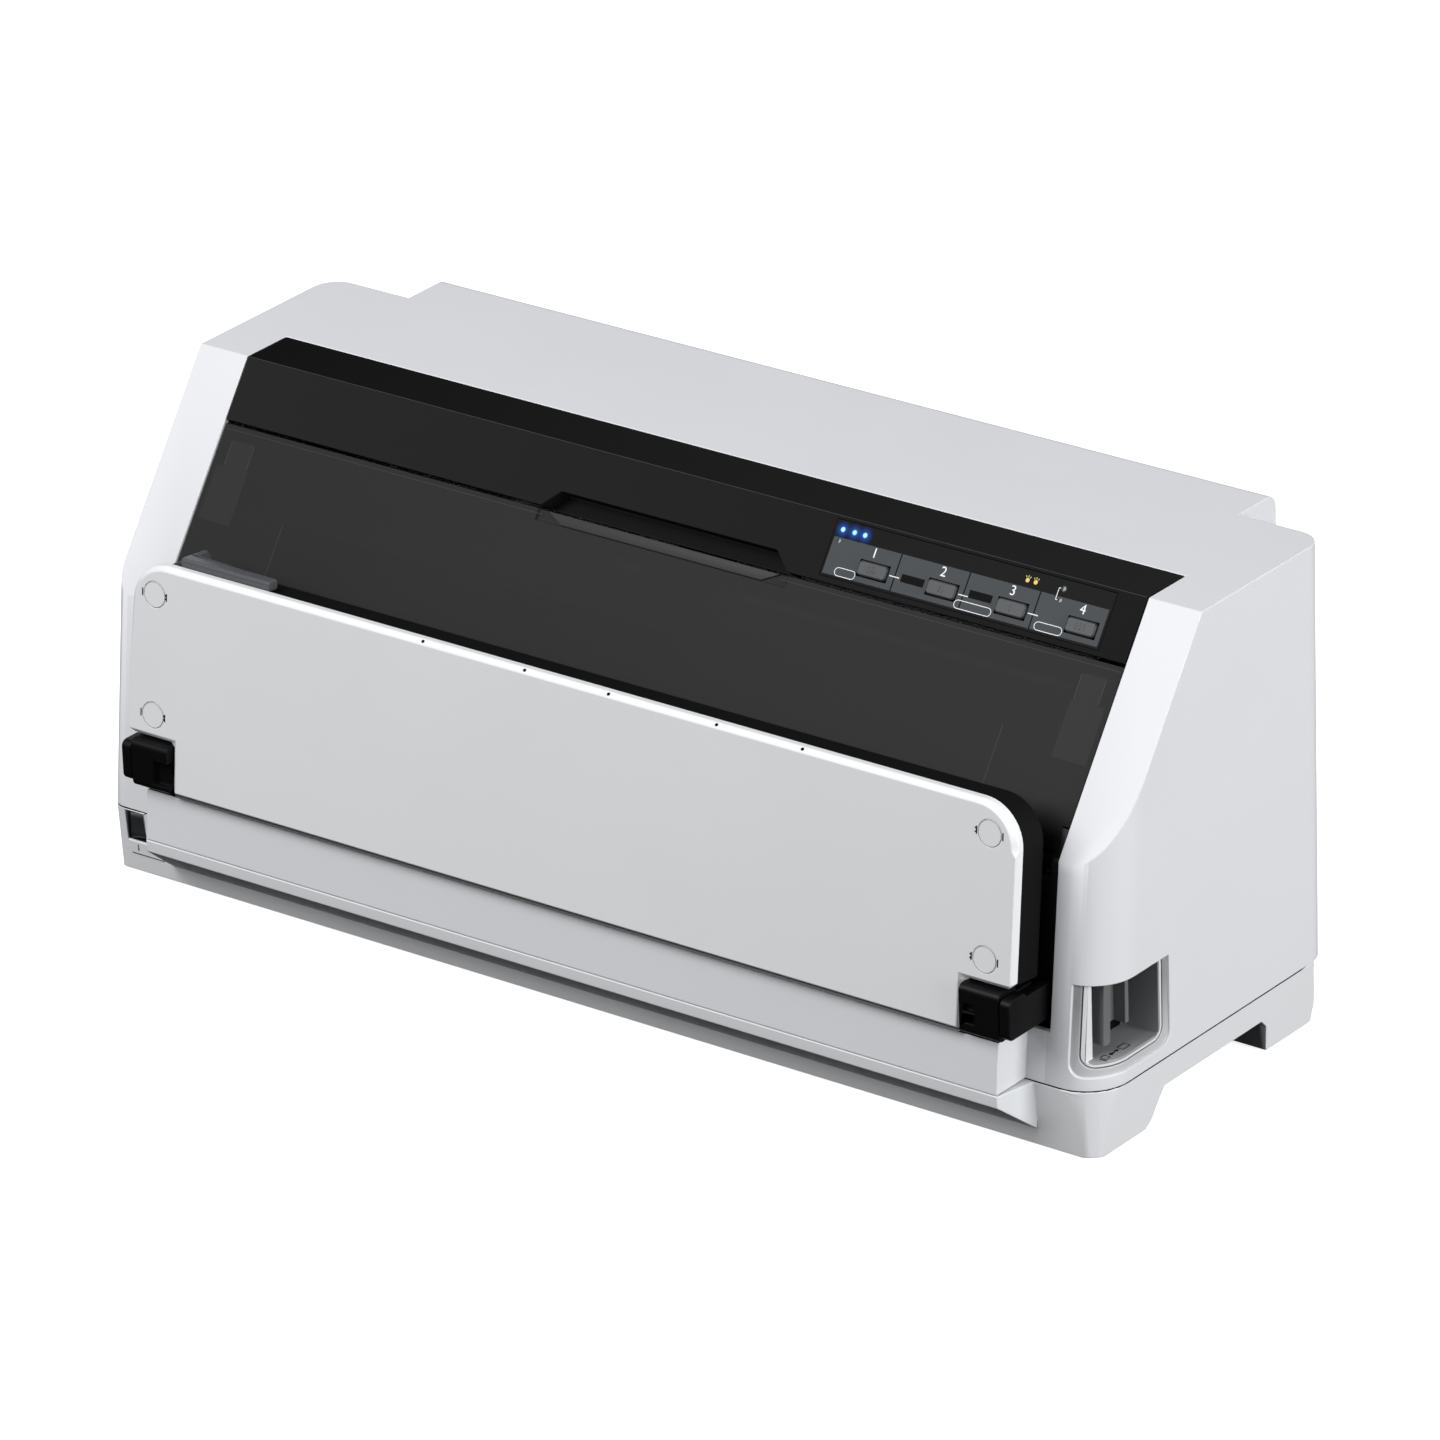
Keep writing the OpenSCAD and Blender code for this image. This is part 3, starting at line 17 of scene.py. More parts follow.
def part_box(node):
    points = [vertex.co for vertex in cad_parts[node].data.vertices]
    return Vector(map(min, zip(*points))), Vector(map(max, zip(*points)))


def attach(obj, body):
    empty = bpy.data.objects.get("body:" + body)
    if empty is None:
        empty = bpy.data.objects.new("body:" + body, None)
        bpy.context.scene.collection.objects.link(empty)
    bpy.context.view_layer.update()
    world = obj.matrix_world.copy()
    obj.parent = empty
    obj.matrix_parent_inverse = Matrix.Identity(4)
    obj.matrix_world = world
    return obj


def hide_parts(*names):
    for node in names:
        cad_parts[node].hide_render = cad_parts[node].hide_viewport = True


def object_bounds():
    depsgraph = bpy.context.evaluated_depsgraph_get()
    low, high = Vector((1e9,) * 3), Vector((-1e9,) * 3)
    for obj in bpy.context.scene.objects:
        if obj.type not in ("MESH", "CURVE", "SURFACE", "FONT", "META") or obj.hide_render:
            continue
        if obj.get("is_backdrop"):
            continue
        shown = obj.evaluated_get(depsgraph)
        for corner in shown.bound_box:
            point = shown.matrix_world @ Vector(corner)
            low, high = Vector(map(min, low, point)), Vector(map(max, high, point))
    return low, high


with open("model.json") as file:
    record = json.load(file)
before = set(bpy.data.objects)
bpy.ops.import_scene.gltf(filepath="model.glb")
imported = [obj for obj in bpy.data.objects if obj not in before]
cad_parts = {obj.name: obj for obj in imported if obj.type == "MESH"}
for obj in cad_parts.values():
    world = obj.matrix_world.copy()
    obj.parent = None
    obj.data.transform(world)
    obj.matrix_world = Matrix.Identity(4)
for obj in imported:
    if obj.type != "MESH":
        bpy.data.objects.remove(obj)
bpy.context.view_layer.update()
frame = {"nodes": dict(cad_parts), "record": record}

# %% [markdown]
# Four planes carry nearly all the details: the sloping front, the face of the tray, the right side
# and the top. A detail is drawn flat, in millimetres, and then laid on its plane. That is simpler
# than working out where each corner goes, and it keeps a detail on its surface if a plane moves.

# %% Planes of the printer
MM = 0.001
BEND_Y = -0.107
BEND_Z = 0.1267
CREASE_D = 65.8
CASE_TOP = 218.0
SEAM_Z = 30.4
FRONT_RUN = 10.5
FRONT_SLANT = FRONT_RUN / (126.7 - SEAM_Z)
HALF_CASE, CORNER_R = 0.260, 0.020
SLOPE_ANGLE = math.atan2(CASE_TOP - BEND_Z / MM, CREASE_D)
TRAY_LEAN = math.radians(5.84)
TRAY_FACE_D = -24.7


def spot(x, d, z):
    """A point from millimetres: across, behind the bend of the case, and up."""
    return Vector((x * MM, BEND_Y + d * MM, z * MM))


def slope_at(z):
    """How far up the slope a height is, in millimetres."""
    return (z - BEND_Z / MM) / math.sin(SLOPE_ANGLE)


def tray_at(z):
    """How far up the tray's face a height is, in millimetres."""
    return (z - BEND_Z / MM) / math.cos(TRAY_LEAN)


ON_SLOPE = Matrix.Translation(spot(0, 0, BEND_Z / MM)) @ Matrix.Rotation(SLOPE_ANGLE, 4, "X")
ON_TRAY = Matrix.Translation(spot(0, TRAY_FACE_D, BEND_Z / MM)) @ Matrix.Rotation(
    math.radians(90) - TRAY_LEAN, 4, "X")
ON_FRONT = Matrix.Translation(spot(0, 0, 0)) @ Matrix.Rotation(math.radians(90), 4, "X")
ON_TOP = Matrix.Translation(spot(0, 0, 0))
print("the slope rises at", round(math.degrees(SLOPE_ANGLE), 2), "degrees")

# %% [markdown]
# A finish is a small tree of shader nodes. Written node by node it is long and hard to read, so a
# socket is wrapped in a class that knows the arithmetic operators: an expression on sockets adds
# its own Math nodes. Everything else comes from one method that takes a node's type, its settings
# and what goes into its sockets.

# %% Shader sockets with arithmetic
class Value:
    """A socket of a shader tree that can be added, multiplied and compared."""

    def __init__(self, finish, socket):
        self.finish, self.socket = finish, socket

    def math(self, operation, first, second=0.0):
        return self.finish.node("ShaderNodeMath", {"operation": operation}, {0: first, 1: second})

    def __add__(self, other):
        return self.math("ADD", self, other)

    def __sub__(self, other):
        return self.math("SUBTRACT", self, other)

    def __rsub__(self, other):
        return self.math("SUBTRACT", other, self)

    def __mul__(self, other):
        return self.math("MULTIPLY", self, other)

    def __truediv__(self, other):
        return self.math("DIVIDE", self, other)

    def __pow__(self, other):
        return self.math("POWER", self, other)

    def __gt__(self, other):
        return self.math("GREATER_THAN", self, other)

    def __lt__(self, other):
        return self.math("LESS_THAN", self, other)

    __radd__, __rmul__ = __add__, __mul__

    def at_least(self, other):
        return self.math("MAXIMUM", self, other)

    def held(self):
        """The value kept between 0 and 1."""
        return self.math("MINIMUM", self.at_least(0.0), 1.0)


class Finish:
    """A material, with one method that adds any node."""

    def __init__(self, name):
        self.material = bpy.data.materials.new(name)
        self.material.use_nodes = True
        self.tree = self.material.node_tree
        self.tree.nodes.clear()
        self.place = self.node("ShaderNodeTexCoord", output="Object")

    def node(self, kind, settings=(), inputs=(), output=0):
        added = self.tree.nodes.new(kind)
        for key, value in dict(settings).items():
            if key == "stops":
                for stop, (at, colour) in zip(added.color_ramp.elements, value):
                    stop.position, stop.color = at, (*colour, 1)
            else:
                setattr(added, key, value)
        for key, value in dict(inputs).items():
            if isinstance(value, Value):
                self.tree.links.new(value.socket, added.inputs[key])
            else:
                added.inputs[key].default_value = value
        return Value(self, added.outputs[output])

    def noise(self, size, detail=2.0, roughness=0.5, stretch=None):
        """Noise whose blotches are about size metres across."""
        at = self.place
        if stretch:
            at = self.node("ShaderNodeMapping", {}, {"Vector": at, "Scale": stretch})
        return self.node("ShaderNodeTexNoise", {}, {
            "Vector": at, "Scale": 1 / size, "Detail": detail, "Roughness": roughness})

    def along(self, axis):
        """One coordinate of the place, in metres."""
        return self.node("ShaderNodeSeparateXYZ", {}, {"Vector": self.place}, axis)

    def away(self, point):
        """How far a place is from a point, in metres."""
        return self.node("ShaderNodeVectorMath", {"operation": "DISTANCE"},
                         {0: self.place, 1: point}, "Value")

    def blend(self, share, one, other):
        """Colour one where share is 0, and the other where it is 1."""
        return self.node("ShaderNodeMix", {"data_type": "RGBA"}, {
            0: share, 6: one if isinstance(one, Value) else (*one, 1),
            7: other if isinstance(other, Value) else (*other, 1)}, output=2)

    def surface(self, height=None, depth=0.0001, strength=0.4, **inputs):
        """Closes the tree with a Principled shader. Words like base_color name its sockets."""
        sockets = {key.replace("_", " ").title().replace("Ior", "IOR"): value
                   for key, value in inputs.items()}
        for key, value in sockets.items():
            if isinstance(value, tuple) and len(value) == 3:
                sockets[key] = (*value, 1)
        if height is not None:
            sockets["Normal"] = self.node("ShaderNodeBump", {}, {
                "Strength": strength, "Distance": depth, "Height": height})
        shader = self.node("ShaderNodeBsdfPrincipled", {}, sockets)
        end = self.tree.nodes.new("ShaderNodeOutputMaterial")
        self.tree.links.new(shader.socket, end.inputs["Surface"])
        return self.material


def shade(colour, by):
    """A colour made lighter or darker by a factor."""
    return tuple(min(1.0, c * by) for c in colour)


# %% [markdown]
# Moulded plastic is never quite even. The mould is spark-eroded, which leaves a grain of about a
# third of a millimetre, and the colour and gloss drift a little over a hand's width. One function
# makes all the plastics of the printer, from the pale case to the black hinges.

# %% Moulded plastics
def moulded(name, colour, rough=0.42, grain=0.0004, grain_strength=0.12, drift=0.02, patch=None,
            **more):
    """Plastic with a fine mould grain and a slow drift in colour and gloss.

    patch is a function that gets the finish and its colour, and changes the colour in places."""
    f = Finish(name)
    fine = f.noise(grain, detail=3)
    slow = f.noise(0.06, detail=2)
    speck = f.noise(0.0016, detail=4)
    base = f.blend(slow, shade(colour, 1 - drift), shade(colour, 1 + drift))
    base = f.blend(speck * 0.06, base, shade(colour, 0.7))
    if patch:
        base = patch(f, base)
    return f.surface(height=fine, depth=0.00005, strength=grain_strength, base_color=base,
                     roughness=fine * 0.08 + slow * 0.05 + (rough - 0.065), **more)


# %% [markdown]
# Some places of a moulding are darker or paler than the rest. The sunk rim of the lever's window
# and the strip beside the tray lie in shade, hardly any light gets under the arch of the base, the
# chamfer round the tray gets a painted highlight and its lower edge a painted shadow, the window's
# lining gets painted shade inside its lip, and the panel's front and top get painted light and
# shade. The photograph's light is wider than any lamp here, so these shades and highlights are
# painted into the colour, each by a small function on a surface's place.

# %% Painted shade and highlights on the mouldings
def under_skin(f):
    """How deep a place lies under the skin of the case at its right front corner, in metres."""
    front = f.along("Z") * FRONT_SLANT + (BEND_Y - FRONT_SLANT * BEND_Z + CORNER_R)
    across = (f.along("X") - (HALF_CASE - CORNER_R)).at_least(0.0)
    ahead = (front - f.along("Y")).at_least(0.0)
    return CORNER_R - (across * across + ahead * ahead) ** 0.5


def rim_shade(f, base):
    """The sunk rim of the window lies in shade, and so does the strip beside the tray."""
    deep = ((under_skin(f) - 0.0007) * 4000).held()
    near = (f.along("Z") > 0.0360) * (f.along("Z") < 0.078) * (f.along("Y") < -0.067)
    height = ((f.along("Z") - 0.042) * 40).held()
    grey = f.blend(height, (0.50, 0.505, 0.52), (0.27, 0.274, 0.282))
    base = f.blend(deep * near * (f.along("X") > 0.238), base, grey)
    beside = ((0.2520 - f.along("X")) * 52).held() * (f.along("X") > 0.2325)
    low = ((-0.1035 - f.along("Y")) * 300).held() * ((0.1262 - f.along("Z")) * 250).held()
    return f.blend(beside * low * 0.30, base, (0.30, 0.305, 0.315))


def lining_shade(f, base):
    """Painted shade: the lining turns grey inside its pale lip, except on its left wall, and the
    gap round it is painted dark.
    """
    deep = ((under_skin(f) - 0.0018) * 2500).held()
    wall = (f.along("X") < 0.2497) * (f.along("Y") < -0.1066)
    below = (0.0463 - f.along("Z")).at_least(0.0)
    behind = (f.along("Y") - (BEND_Y + 0.0295)).at_least(0.0)
    left = (0.2533 - f.along("X")).at_least(0.0)
    edge = ((below * below + behind * behind) ** 0.5).at_least((below * below + left * left) ** 0.5)
    lip = (edge > 0.0046) * (1 - deep)
    base = f.blend((1 - lip) * (1 - wall), base, (0.300, 0.304, 0.312))
    # Painted shade in the gap round the lip
    return f.blend((edge > 0.00565) * (1 - deep), base, (0.050, 0.051, 0.053))


def arch_shade(f, base):
    """Under the arch of the base, before its rear foot, hardly any light gets in."""
    x, y, z = (f.along(axis) for axis in "XYZ")
    inner = ((0.2555 - (x * x) ** 0.5) * 500).held()
    return f.blend(inner * (y > -0.015) * (y < 0.0085) * (z < 0.0195), base, (0.16, 0.163, 0.168))


def tray_rim_light_and_shade(f, base):
    """Painted highlight: the chamfer round the tray's face is paler than the face. Painted shadow:
    the tray's underside along its lower edge is nearly black.
    """
    out = ON_TRAY.col[2].to_3d()
    height = f.node("ShaderNodeVectorMath", {"operation": "DOT_PRODUCT"},
                    {0: f.place, 1: out}, "Value") - out.dot(ON_TRAY.translation)
    behind = ((-0.0003 - height) * 4000).held()
    # Painted highlight on the chamfer above the notches
    base = f.blend(behind * (f.along("Z") > 0.0800), base, (0.79, 0.80, 0.81))
    # Painted shadow along the lower edge, under the tray
    return f.blend(behind * (f.along("Z") < 0.0570), base, (0.020, 0.020, 0.021))


def panel_painted_light(f, base):
    """Painted light and shade: the front of the panel gets darker to the right, and its top gets
    paler.
    """
    share = ((f.along("X") + 0.235) / 0.47).held()
    front = f.blend(share, (0.0178, 0.0178, 0.0180), (0.0105, 0.0105, 0.0107))
    top = f.blend(share, (0.0032, 0.0032, 0.0034), (0.0130, 0.0130, 0.0133))
    return f.blend(f.along("Z") > 0.2178, front, top)


# %% The plastics of the printer
CASE = moulded("case_plastic", (0.700, 0.708, 0.728), rough=0.38, patch=rim_shade)
BASE = moulded("base_plastic", (0.725, 0.740, 0.755), rough=0.42, patch=arch_shade)
TRAY = moulded("tray_plastic", (0.748, 0.762, 0.776), rough=0.40, patch=tray_rim_light_and_shade)
WINDOW = moulded("window_plastic", (0.720, 0.728, 0.745), rough=0.38, patch=lining_shade)
PANEL = moulded("panel_plastic", (0.0105, 0.0105, 0.0107), rough=0.40, drift=0.08,
                patch=panel_painted_light, specular_ior_level=0.012)
HINGE = moulded("hinge_plastic", (0.0040, 0.0040, 0.0044), rough=0.36, drift=0.10,
                specular_ior_level=0.12)
BED = moulded("bed_plastic", (0.0066, 0.0066, 0.0070), rough=0.42, drift=0.10,
              specular_ior_level=0.03)
INNER = moulded("inner_plastic", (0.010, 0.010, 0.011), rough=0.48, drift=0.10,
                specular_ior_level=0.2)
KEYS = moulded("key_plastic", (0.038, 0.040, 0.042), rough=0.34, drift=0.05,
               specular_ior_level=0.3)
LEVER = moulded("lever_plastic", (0.145, 0.147, 0.150), rough=0.34, drift=0.05)
# Painted highlight: a grey that stands in for the light along the panel's crease
GLINT = moulded("painted_crease_highlight", (0.050, 0.050, 0.052), rough=0.30, drift=0.10)
NYLON = moulded("nylon", (0.74, 0.73, 0.66), rough=0.45, subsurface_weight=0.1)
CARTRIDGE = moulded("cartridge_plastic", (0.014, 0.014, 0.016), rough=0.30, drift=0.12)
KNOB = moulded("knob_plastic", (0.46, 0.11, 0.03), rough=0.38)
SWITCH = moulded("switch_plastic", (0.022, 0.023, 0.025), rough=0.30, drift=0.1)
print("plastics:", len(bpy.data.materials))

# %% [markdown]
# Two parts are tinted and let some light through. The cover over the carriage is smoked almost
# to black, so it is mostly a glossy dark sheet that lets a little of what is behind it show. The
# paper stop is a lighter smoke grey.

# %% Tinted plastics
def tinted(name, colour, alpha, rough, specular, corner=None):
    """Tinted sheet: glossy, with faint flow lines, partly see-through, with painted shade near a
    corner.
    """
    f = Finish(name)
    flow = f.noise(0.05, detail=2, stretch=(0.2, 1, 1))
    fine = f.noise(0.0006, detail=2)
    base = f.blend(flow, shade(colour, 0.92), shade(colour, 1.08))
    # Painted shade: darker within 30 mm of the corner
    if corner:
        base = f.blend(((0.030 - f.away(corner)) * 60).held(), base, shade(colour, 0.15))
    return f.surface(height=fine, depth=0.00003, strength=0.06, base_color=base,
                     roughness=flow * 0.06 + fine * 0.03 + rough, alpha=alpha,
                     specular_ior_level=specular)


# The smoked cover gets painted shade at its lower right corner, beside the tray
SMOKE = tinted("smoked_sheet", (0.0258, 0.0258, 0.0263), 0.96, 0.34, 0.04,
               corner=ON_SLOPE @ (Vector((231, -4, -1)) * MM))
STOP = tinted("grey_sheet", (0.098, 0.101, 0.108), 0.86, 0.24, 0.30)

# %% [markdown]
# The mechanism is mostly steel. Zinc-plated sheet shows soft crystal blotches, ground shafts show
# fine rings round them, which a noise squeezed along X gives, and cast alloy is dull and grainy.

# %% Metals
def metal(name, colour, rough, size, stretch, blotch=0.12, strength=0.15):
    """Metal with a pattern that is stretched the way that it was worked."""
    f = Finish(name)
    worked = f.noise(size, detail=4, stretch=stretch)
    slow = f.noise(0.03, detail=2)
    base = f.blend(worked, shade(colour, 1 - blotch), shade(colour, 1 + blotch))
    return f.surface(height=worked, depth=0.00005, strength=strength, base_color=base,
                     metallic=1.0, roughness=worked * 0.14 + slow * 0.08 + (rough - 0.1))


ZINC = metal("zinc_sheet", (0.62, 0.63, 0.65), 0.42, 0.008, (1, 1, 1))
GROUND = metal("ground_steel", (0.68, 0.69, 0.71), 0.22, 0.004, (12, 1, 1), blotch=0.06)
BRASS = metal("turned_brass", (0.78, 0.58, 0.28), 0.32, 0.002, (8, 1, 1))
ALLOY = metal("cast_alloy", (0.30, 0.305, 0.315), 0.52, 0.0012, (1, 1, 1), strength=0.5)


# %% Rubber and circuit board
def rubber():
    """Ground rubber: matt, with fine pits and a dusty bloom."""
    f = Finish("rubber")
    pits = f.noise(0.0007, detail=5, roughness=0.7)
    bloom = f.noise(0.02, detail=3)
    return f.surface(height=pits, depth=0.0001, strength=0.5,
                     base_color=f.blend(bloom, (0.012, 0.012, 0.012), (0.030, 0.029, 0.028)),
                     roughness=pits * 0.15 + 0.62)


def circuit_board():
    """Green lacquer over copper tracks that run in square cells."""
    f = Finish("circuit_board")
    cells = f.node("ShaderNodeTexVoronoi", {"distance": "CHEBYCHEV", "feature": "F1"},
                   {"Vector": f.place, "Scale": 220.0, "Randomness": 0.6}, "Distance")
    track = cells > 0.42
    weave = f.noise(0.0008, detail=2)
    base = f.blend(track, (0.010, 0.075, 0.035), (0.020, 0.140, 0.060))
    return f.surface(height=track + weave * 0.2, depth=0.00005, base_color=base,
                     roughness=weave * 0.1 + 0.24)


RUBBER = rubber()
BOARD = circuit_board()

# %% [markdown]
# The finishes are given to the CAD nodes by name. A node's mesh is left alone: only the material
# in its slot changes. Later cells replace the outer mouldings, but hold on to the same table.

# %% Which finish goes where
FINISH_OF = {}
for material, nodes in (
    (CASE, "upper_case rear_frame rear_cover"),
    (WINDOW, "window_bezel"),
    (BASE, "lower_case"),
    (TRAY, "tray_shell tray_caps"),
    (PANEL, "control_panel"),
    (SMOKE, "printer_cover"),
    (STOP, "edge_guide"),
    (KEYS, "button_1 button_2 button_3 button_4"),
    (HINGE, "hinge_knuckles hinge_brackets"),
    (BED, "tray_bed"),
    (SWITCH, "power_switch"),
    (LEVER, "release_lever"),
    (INNER, "front_guide switch_housing rear_sockets pinch_carriers carriage tractor_left "
            "tractor_right tractor_door_left tractor_door_right"),
    (CARTRIDGE, "ribbon_cartridge"),
    (KNOB, "ribbon_knob"),
    (NYLON, "roller_bushes idler_gear idler_pulley sprocket_left sprocket_right"),
    (ZINC, "chassis_pan side_plates paper_bed carriage_rail power_supply motors case_screws"),
    (GROUND, "feed_shaft_front feed_shaft_rear carriage_shaft drive_pulley tractor_shaft"),
    (BRASS, "motor_pinion"),
    (ALLOY, "platen print_head"),
    (RUBBER, "rubber_feet feed_rubbers_front feed_rubbers_rear pinch_roller_front "
             "pinch_roller_rear carriage_belt feed_belt"),
    (BOARD, "key_board main_board"),
):
    for name in nodes.split():
        FINISH_OF[name] = material
        frame["nodes"][name].material_slots[0].material = material
print("finished nodes:", len(FINISH_OF), "of", len(frame["nodes"]))

BODY_OF = {n: body for body, nodes in frame["record"]["behaviour"]["bodies"].items() for n in nodes}


# %% [markdown]
# In the photograph the left front corner of the case is tighter than the right one: its radius is
# 8 mm and not 20. The vertices of the corner move outwards on the copies, so no new faces are
# needed. Above the seam they move along X only, which keeps them on the slope. Below it they move
# away from the middle of the rounding, so the switch and its opening go along with the wall.

# %% The left front corner
CORNER_MM, CORNER_X = CORNER_R / MM, HALF_CASE / MM - CORNER_R / MM
TIGHTER = CORNER_MM - 8.0
FOOT_Z, FOOT_SIDE, FOOT_FRONT = 0.8, 16, 17.5


def tighten(node, point):
    """Where a point of the rounded left front corner goes, when the corner is made tighter."""
    x, d, z = point.x / MM, (point.y - BEND_Y) / MM, point.z / MM
    upper = node == "upper_case"
    lean = math.atan(FRONT_SLANT) if upper else 0.0
    front = d * math.cos(lean) - (z - BEND_Z / MM) * math.sin(lean) + (
        0 if upper else FRONT_RUN)
    a, b = -CORNER_X - x, CORNER_MM - front
    r = math.hypot(a, b)
    if a < -0.01 or b < 0 or r < 14:
        return point
    a = max(a, 0.0)
    if upper:
        rise = max((r - TIGHTER) ** 2 - max(b - TIGHTER, 0.0) ** 2, 0.0)
        a = TIGHTER + math.sqrt(rise) if b > TIGHTER else r
    elif r * b <= TIGHTER * a:
        a, b = r, r * b / a
    elif r * a <= TIGHTER * b:
        a, b = r * a / b, r
    else:
        c, e = a / r, b / r
        t = TIGHTER * (c + e) + math.sqrt((TIGHTER * (c + e)) ** 2 - 2 * TIGHTER ** 2
                                          + (r - TIGHTER) ** 2)
        a, b = t * c, t * e
    if node == "lower_case":
        a = min(a, FOOT_SIDE + 4 * (z - FOOT_Z) / 33.6)
        b = min(b, FOOT_FRONT + 2.5 * (z - FOOT_Z) / (SEAM_Z - FOOT_Z))
    if not upper:
        d = CORNER_MM - FRONT_RUN - b
    return spot(-CORNER_X - a, d, z)


# %% [markdown]
# A real moulding has no knife edge. The CAD solids have, so the mouldings that show are copied,
# their loose triangles are merged into whole faces again, and a Bevel modifier rounds each edge.
# Weighted normals keep the large faces flat to the eye right up to the rounding.

# %% Soft-edged mouldings
def clear_selection():
    if bpy.context.mode != "OBJECT":
        bpy.ops.object.mode_set(mode="OBJECT")
    bpy.ops.object.select_all(action="DESELECT")


def pick(piece):
    clear_selection()
    piece.select_set(True)
    bpy.context.view_layer.objects.active = piece


def apply_modifier(piece, kind, **settings):
    pick(piece)
    modifier = piece.modifiers.new(kind.lower(), kind)
    for key, value in settings.items():
        setattr(modifier, key, value)
    bpy.ops.object.modifier_apply(modifier=modifier.name)


def soften(node, radius, segments=3, angle=38.0, first=None):
    """Replaces a CAD node by a copy whose edges are rounded to a radius in millimetres.

    first is (width, steps, test, plane): edges whose ends both pass the test, given in
    millimetres on the plane, are rounded by that width in that many steps before the rest."""
    piece = bpy.data.objects.new(node + "_moulding", frame["nodes"][node].data.copy())
    bpy.context.scene.collection.objects.link(piece)
    pick(piece)
    bpy.ops.mesh.customdata_custom_splitnormals_clear()
    bpy.ops.object.mode_set(mode="EDIT")
    bpy.ops.mesh.select_all(action="SELECT")
    bpy.ops.mesh.remove_doubles(threshold=0.000004)
    bpy.ops.mesh.dissolve_limited(angle_limit=math.radians(0.4))
    bpy.ops.object.mode_set(mode="OBJECT")
    if node in ("upper_case", "lower_case", "power_switch"):  # round the left front corner
        for vertex in piece.data.vertices:
            vertex.co = tighten(node, vertex.co)
    if first:
        width, steps, test, plane = first
        onto = plane.inverted()
        passes = [test(*(onto @ v.co / MM)) for v in piece.data.vertices]
        bpy.ops.object.mode_set(mode="EDIT")
        bpy.ops.mesh.select_mode(type="EDGE")
        bpy.ops.mesh.select_all(action="DESELECT")
        bpy.ops.mesh.edges_select_sharp(sharpness=math.radians(angle))
        bpy.ops.object.mode_set(mode="OBJECT")
        for edge in piece.data.edges:
            edge.select = edge.select and all(passes[v] for v in edge.vertices)
        bpy.ops.object.mode_set(mode="EDIT")
        bpy.ops.mesh.bevel(affect="EDGES", offset=width * MM, segments=steps)
        bpy.ops.object.mode_set(mode="OBJECT")
    apply_modifier(piece, "BEVEL", width=radius * MM, segments=segments, limit_method="ANGLE",
                   angle_limit=math.radians(angle), use_clamp_overlap=False)
    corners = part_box(node)  # a bevel may not reach past the solid
    for vertex in piece.data.vertices:
        vertex.co = [min(max(v, a), b) for v, a, b in zip(vertex.co, *corners)]
    bpy.ops.object.shade_smooth_by_angle(angle=math.radians(angle))
    apply_modifier(piece, "WEIGHTED_NORMAL", keep_sharp=True, weight=80)
    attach(piece, BODY_OF[node])
    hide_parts(node)
    return piece


EDGE_RADII = {
    "upper_case": 0.45, "lower_case": 0.5, "control_panel": 0.35, "printer_cover": 0.4,
    "tray_shell": 0.35, "tray_bed": 0.8, "tray_caps": 0.15, "hinge_knuckles": 0.3,
    "hinge_brackets": 0.7, "edge_guide": 1.1, "window_bezel": 0.3, "release_lever": 0.35,
    "power_switch": 0.4, "front_guide": 0.4, "rear_frame": 0.5, "rear_cover": 0.6,
    "button_1": 0.8, "button_2": 0.8, "button_3": 0.8, "button_4": 0.8,
    "ribbon_cartridge": 0.8, "print_head": 0.3, "carriage": 0.4, "tractor_left": 0.5,
    "tractor_right": 0.5, "tractor_door_left": 0.3, "tractor_door_right": 0.3,
    "rear_sockets": 0.3,
}
CAP_X, CAP_Z = 217.0, (143.6, 89.7)
NOTCH_TOP, FOOT_X = 79.2, 230.5
CHAMFER = 2.1


def tray_outline(x, up, out):
    """True on the outline of the tray's face, away from the caps and the lower edge."""
    return abs(out) < 0.05 and (up > tray_at(NOTCH_TOP + 1) or abs(x) > FOOT_X) and min(
        math.hypot(abs(x) - CAP_X, up - tray_at(z)) for z in CAP_Z) > 7


for node, radius in EDGE_RADII.items():
    first = (CHAMFER, 1, tray_outline, ON_TRAY) if node == "tray_shell" else None
    made = soften(node, radius, first=first)
    print(made.name, len(made.data.polygons), "faces")


# %% [markdown]
# Flat details are drawn on the ground and then laid on their plane. A plate starts as a
# plane, its corners are bevelled as vertices, it is extruded to its thickness, and the rim of the
# top face is bevelled. A ring is the same plate with its middle inset and deleted first.

# %% Flat details
def settle(piece, place):
    """Moves a piece into its plane and puts its place into its mesh."""
    pick(piece)
    piece.matrix_world = place @ piece.matrix_world
    bpy.ops.object.transform_apply(location=True, rotation=True, scale=True)


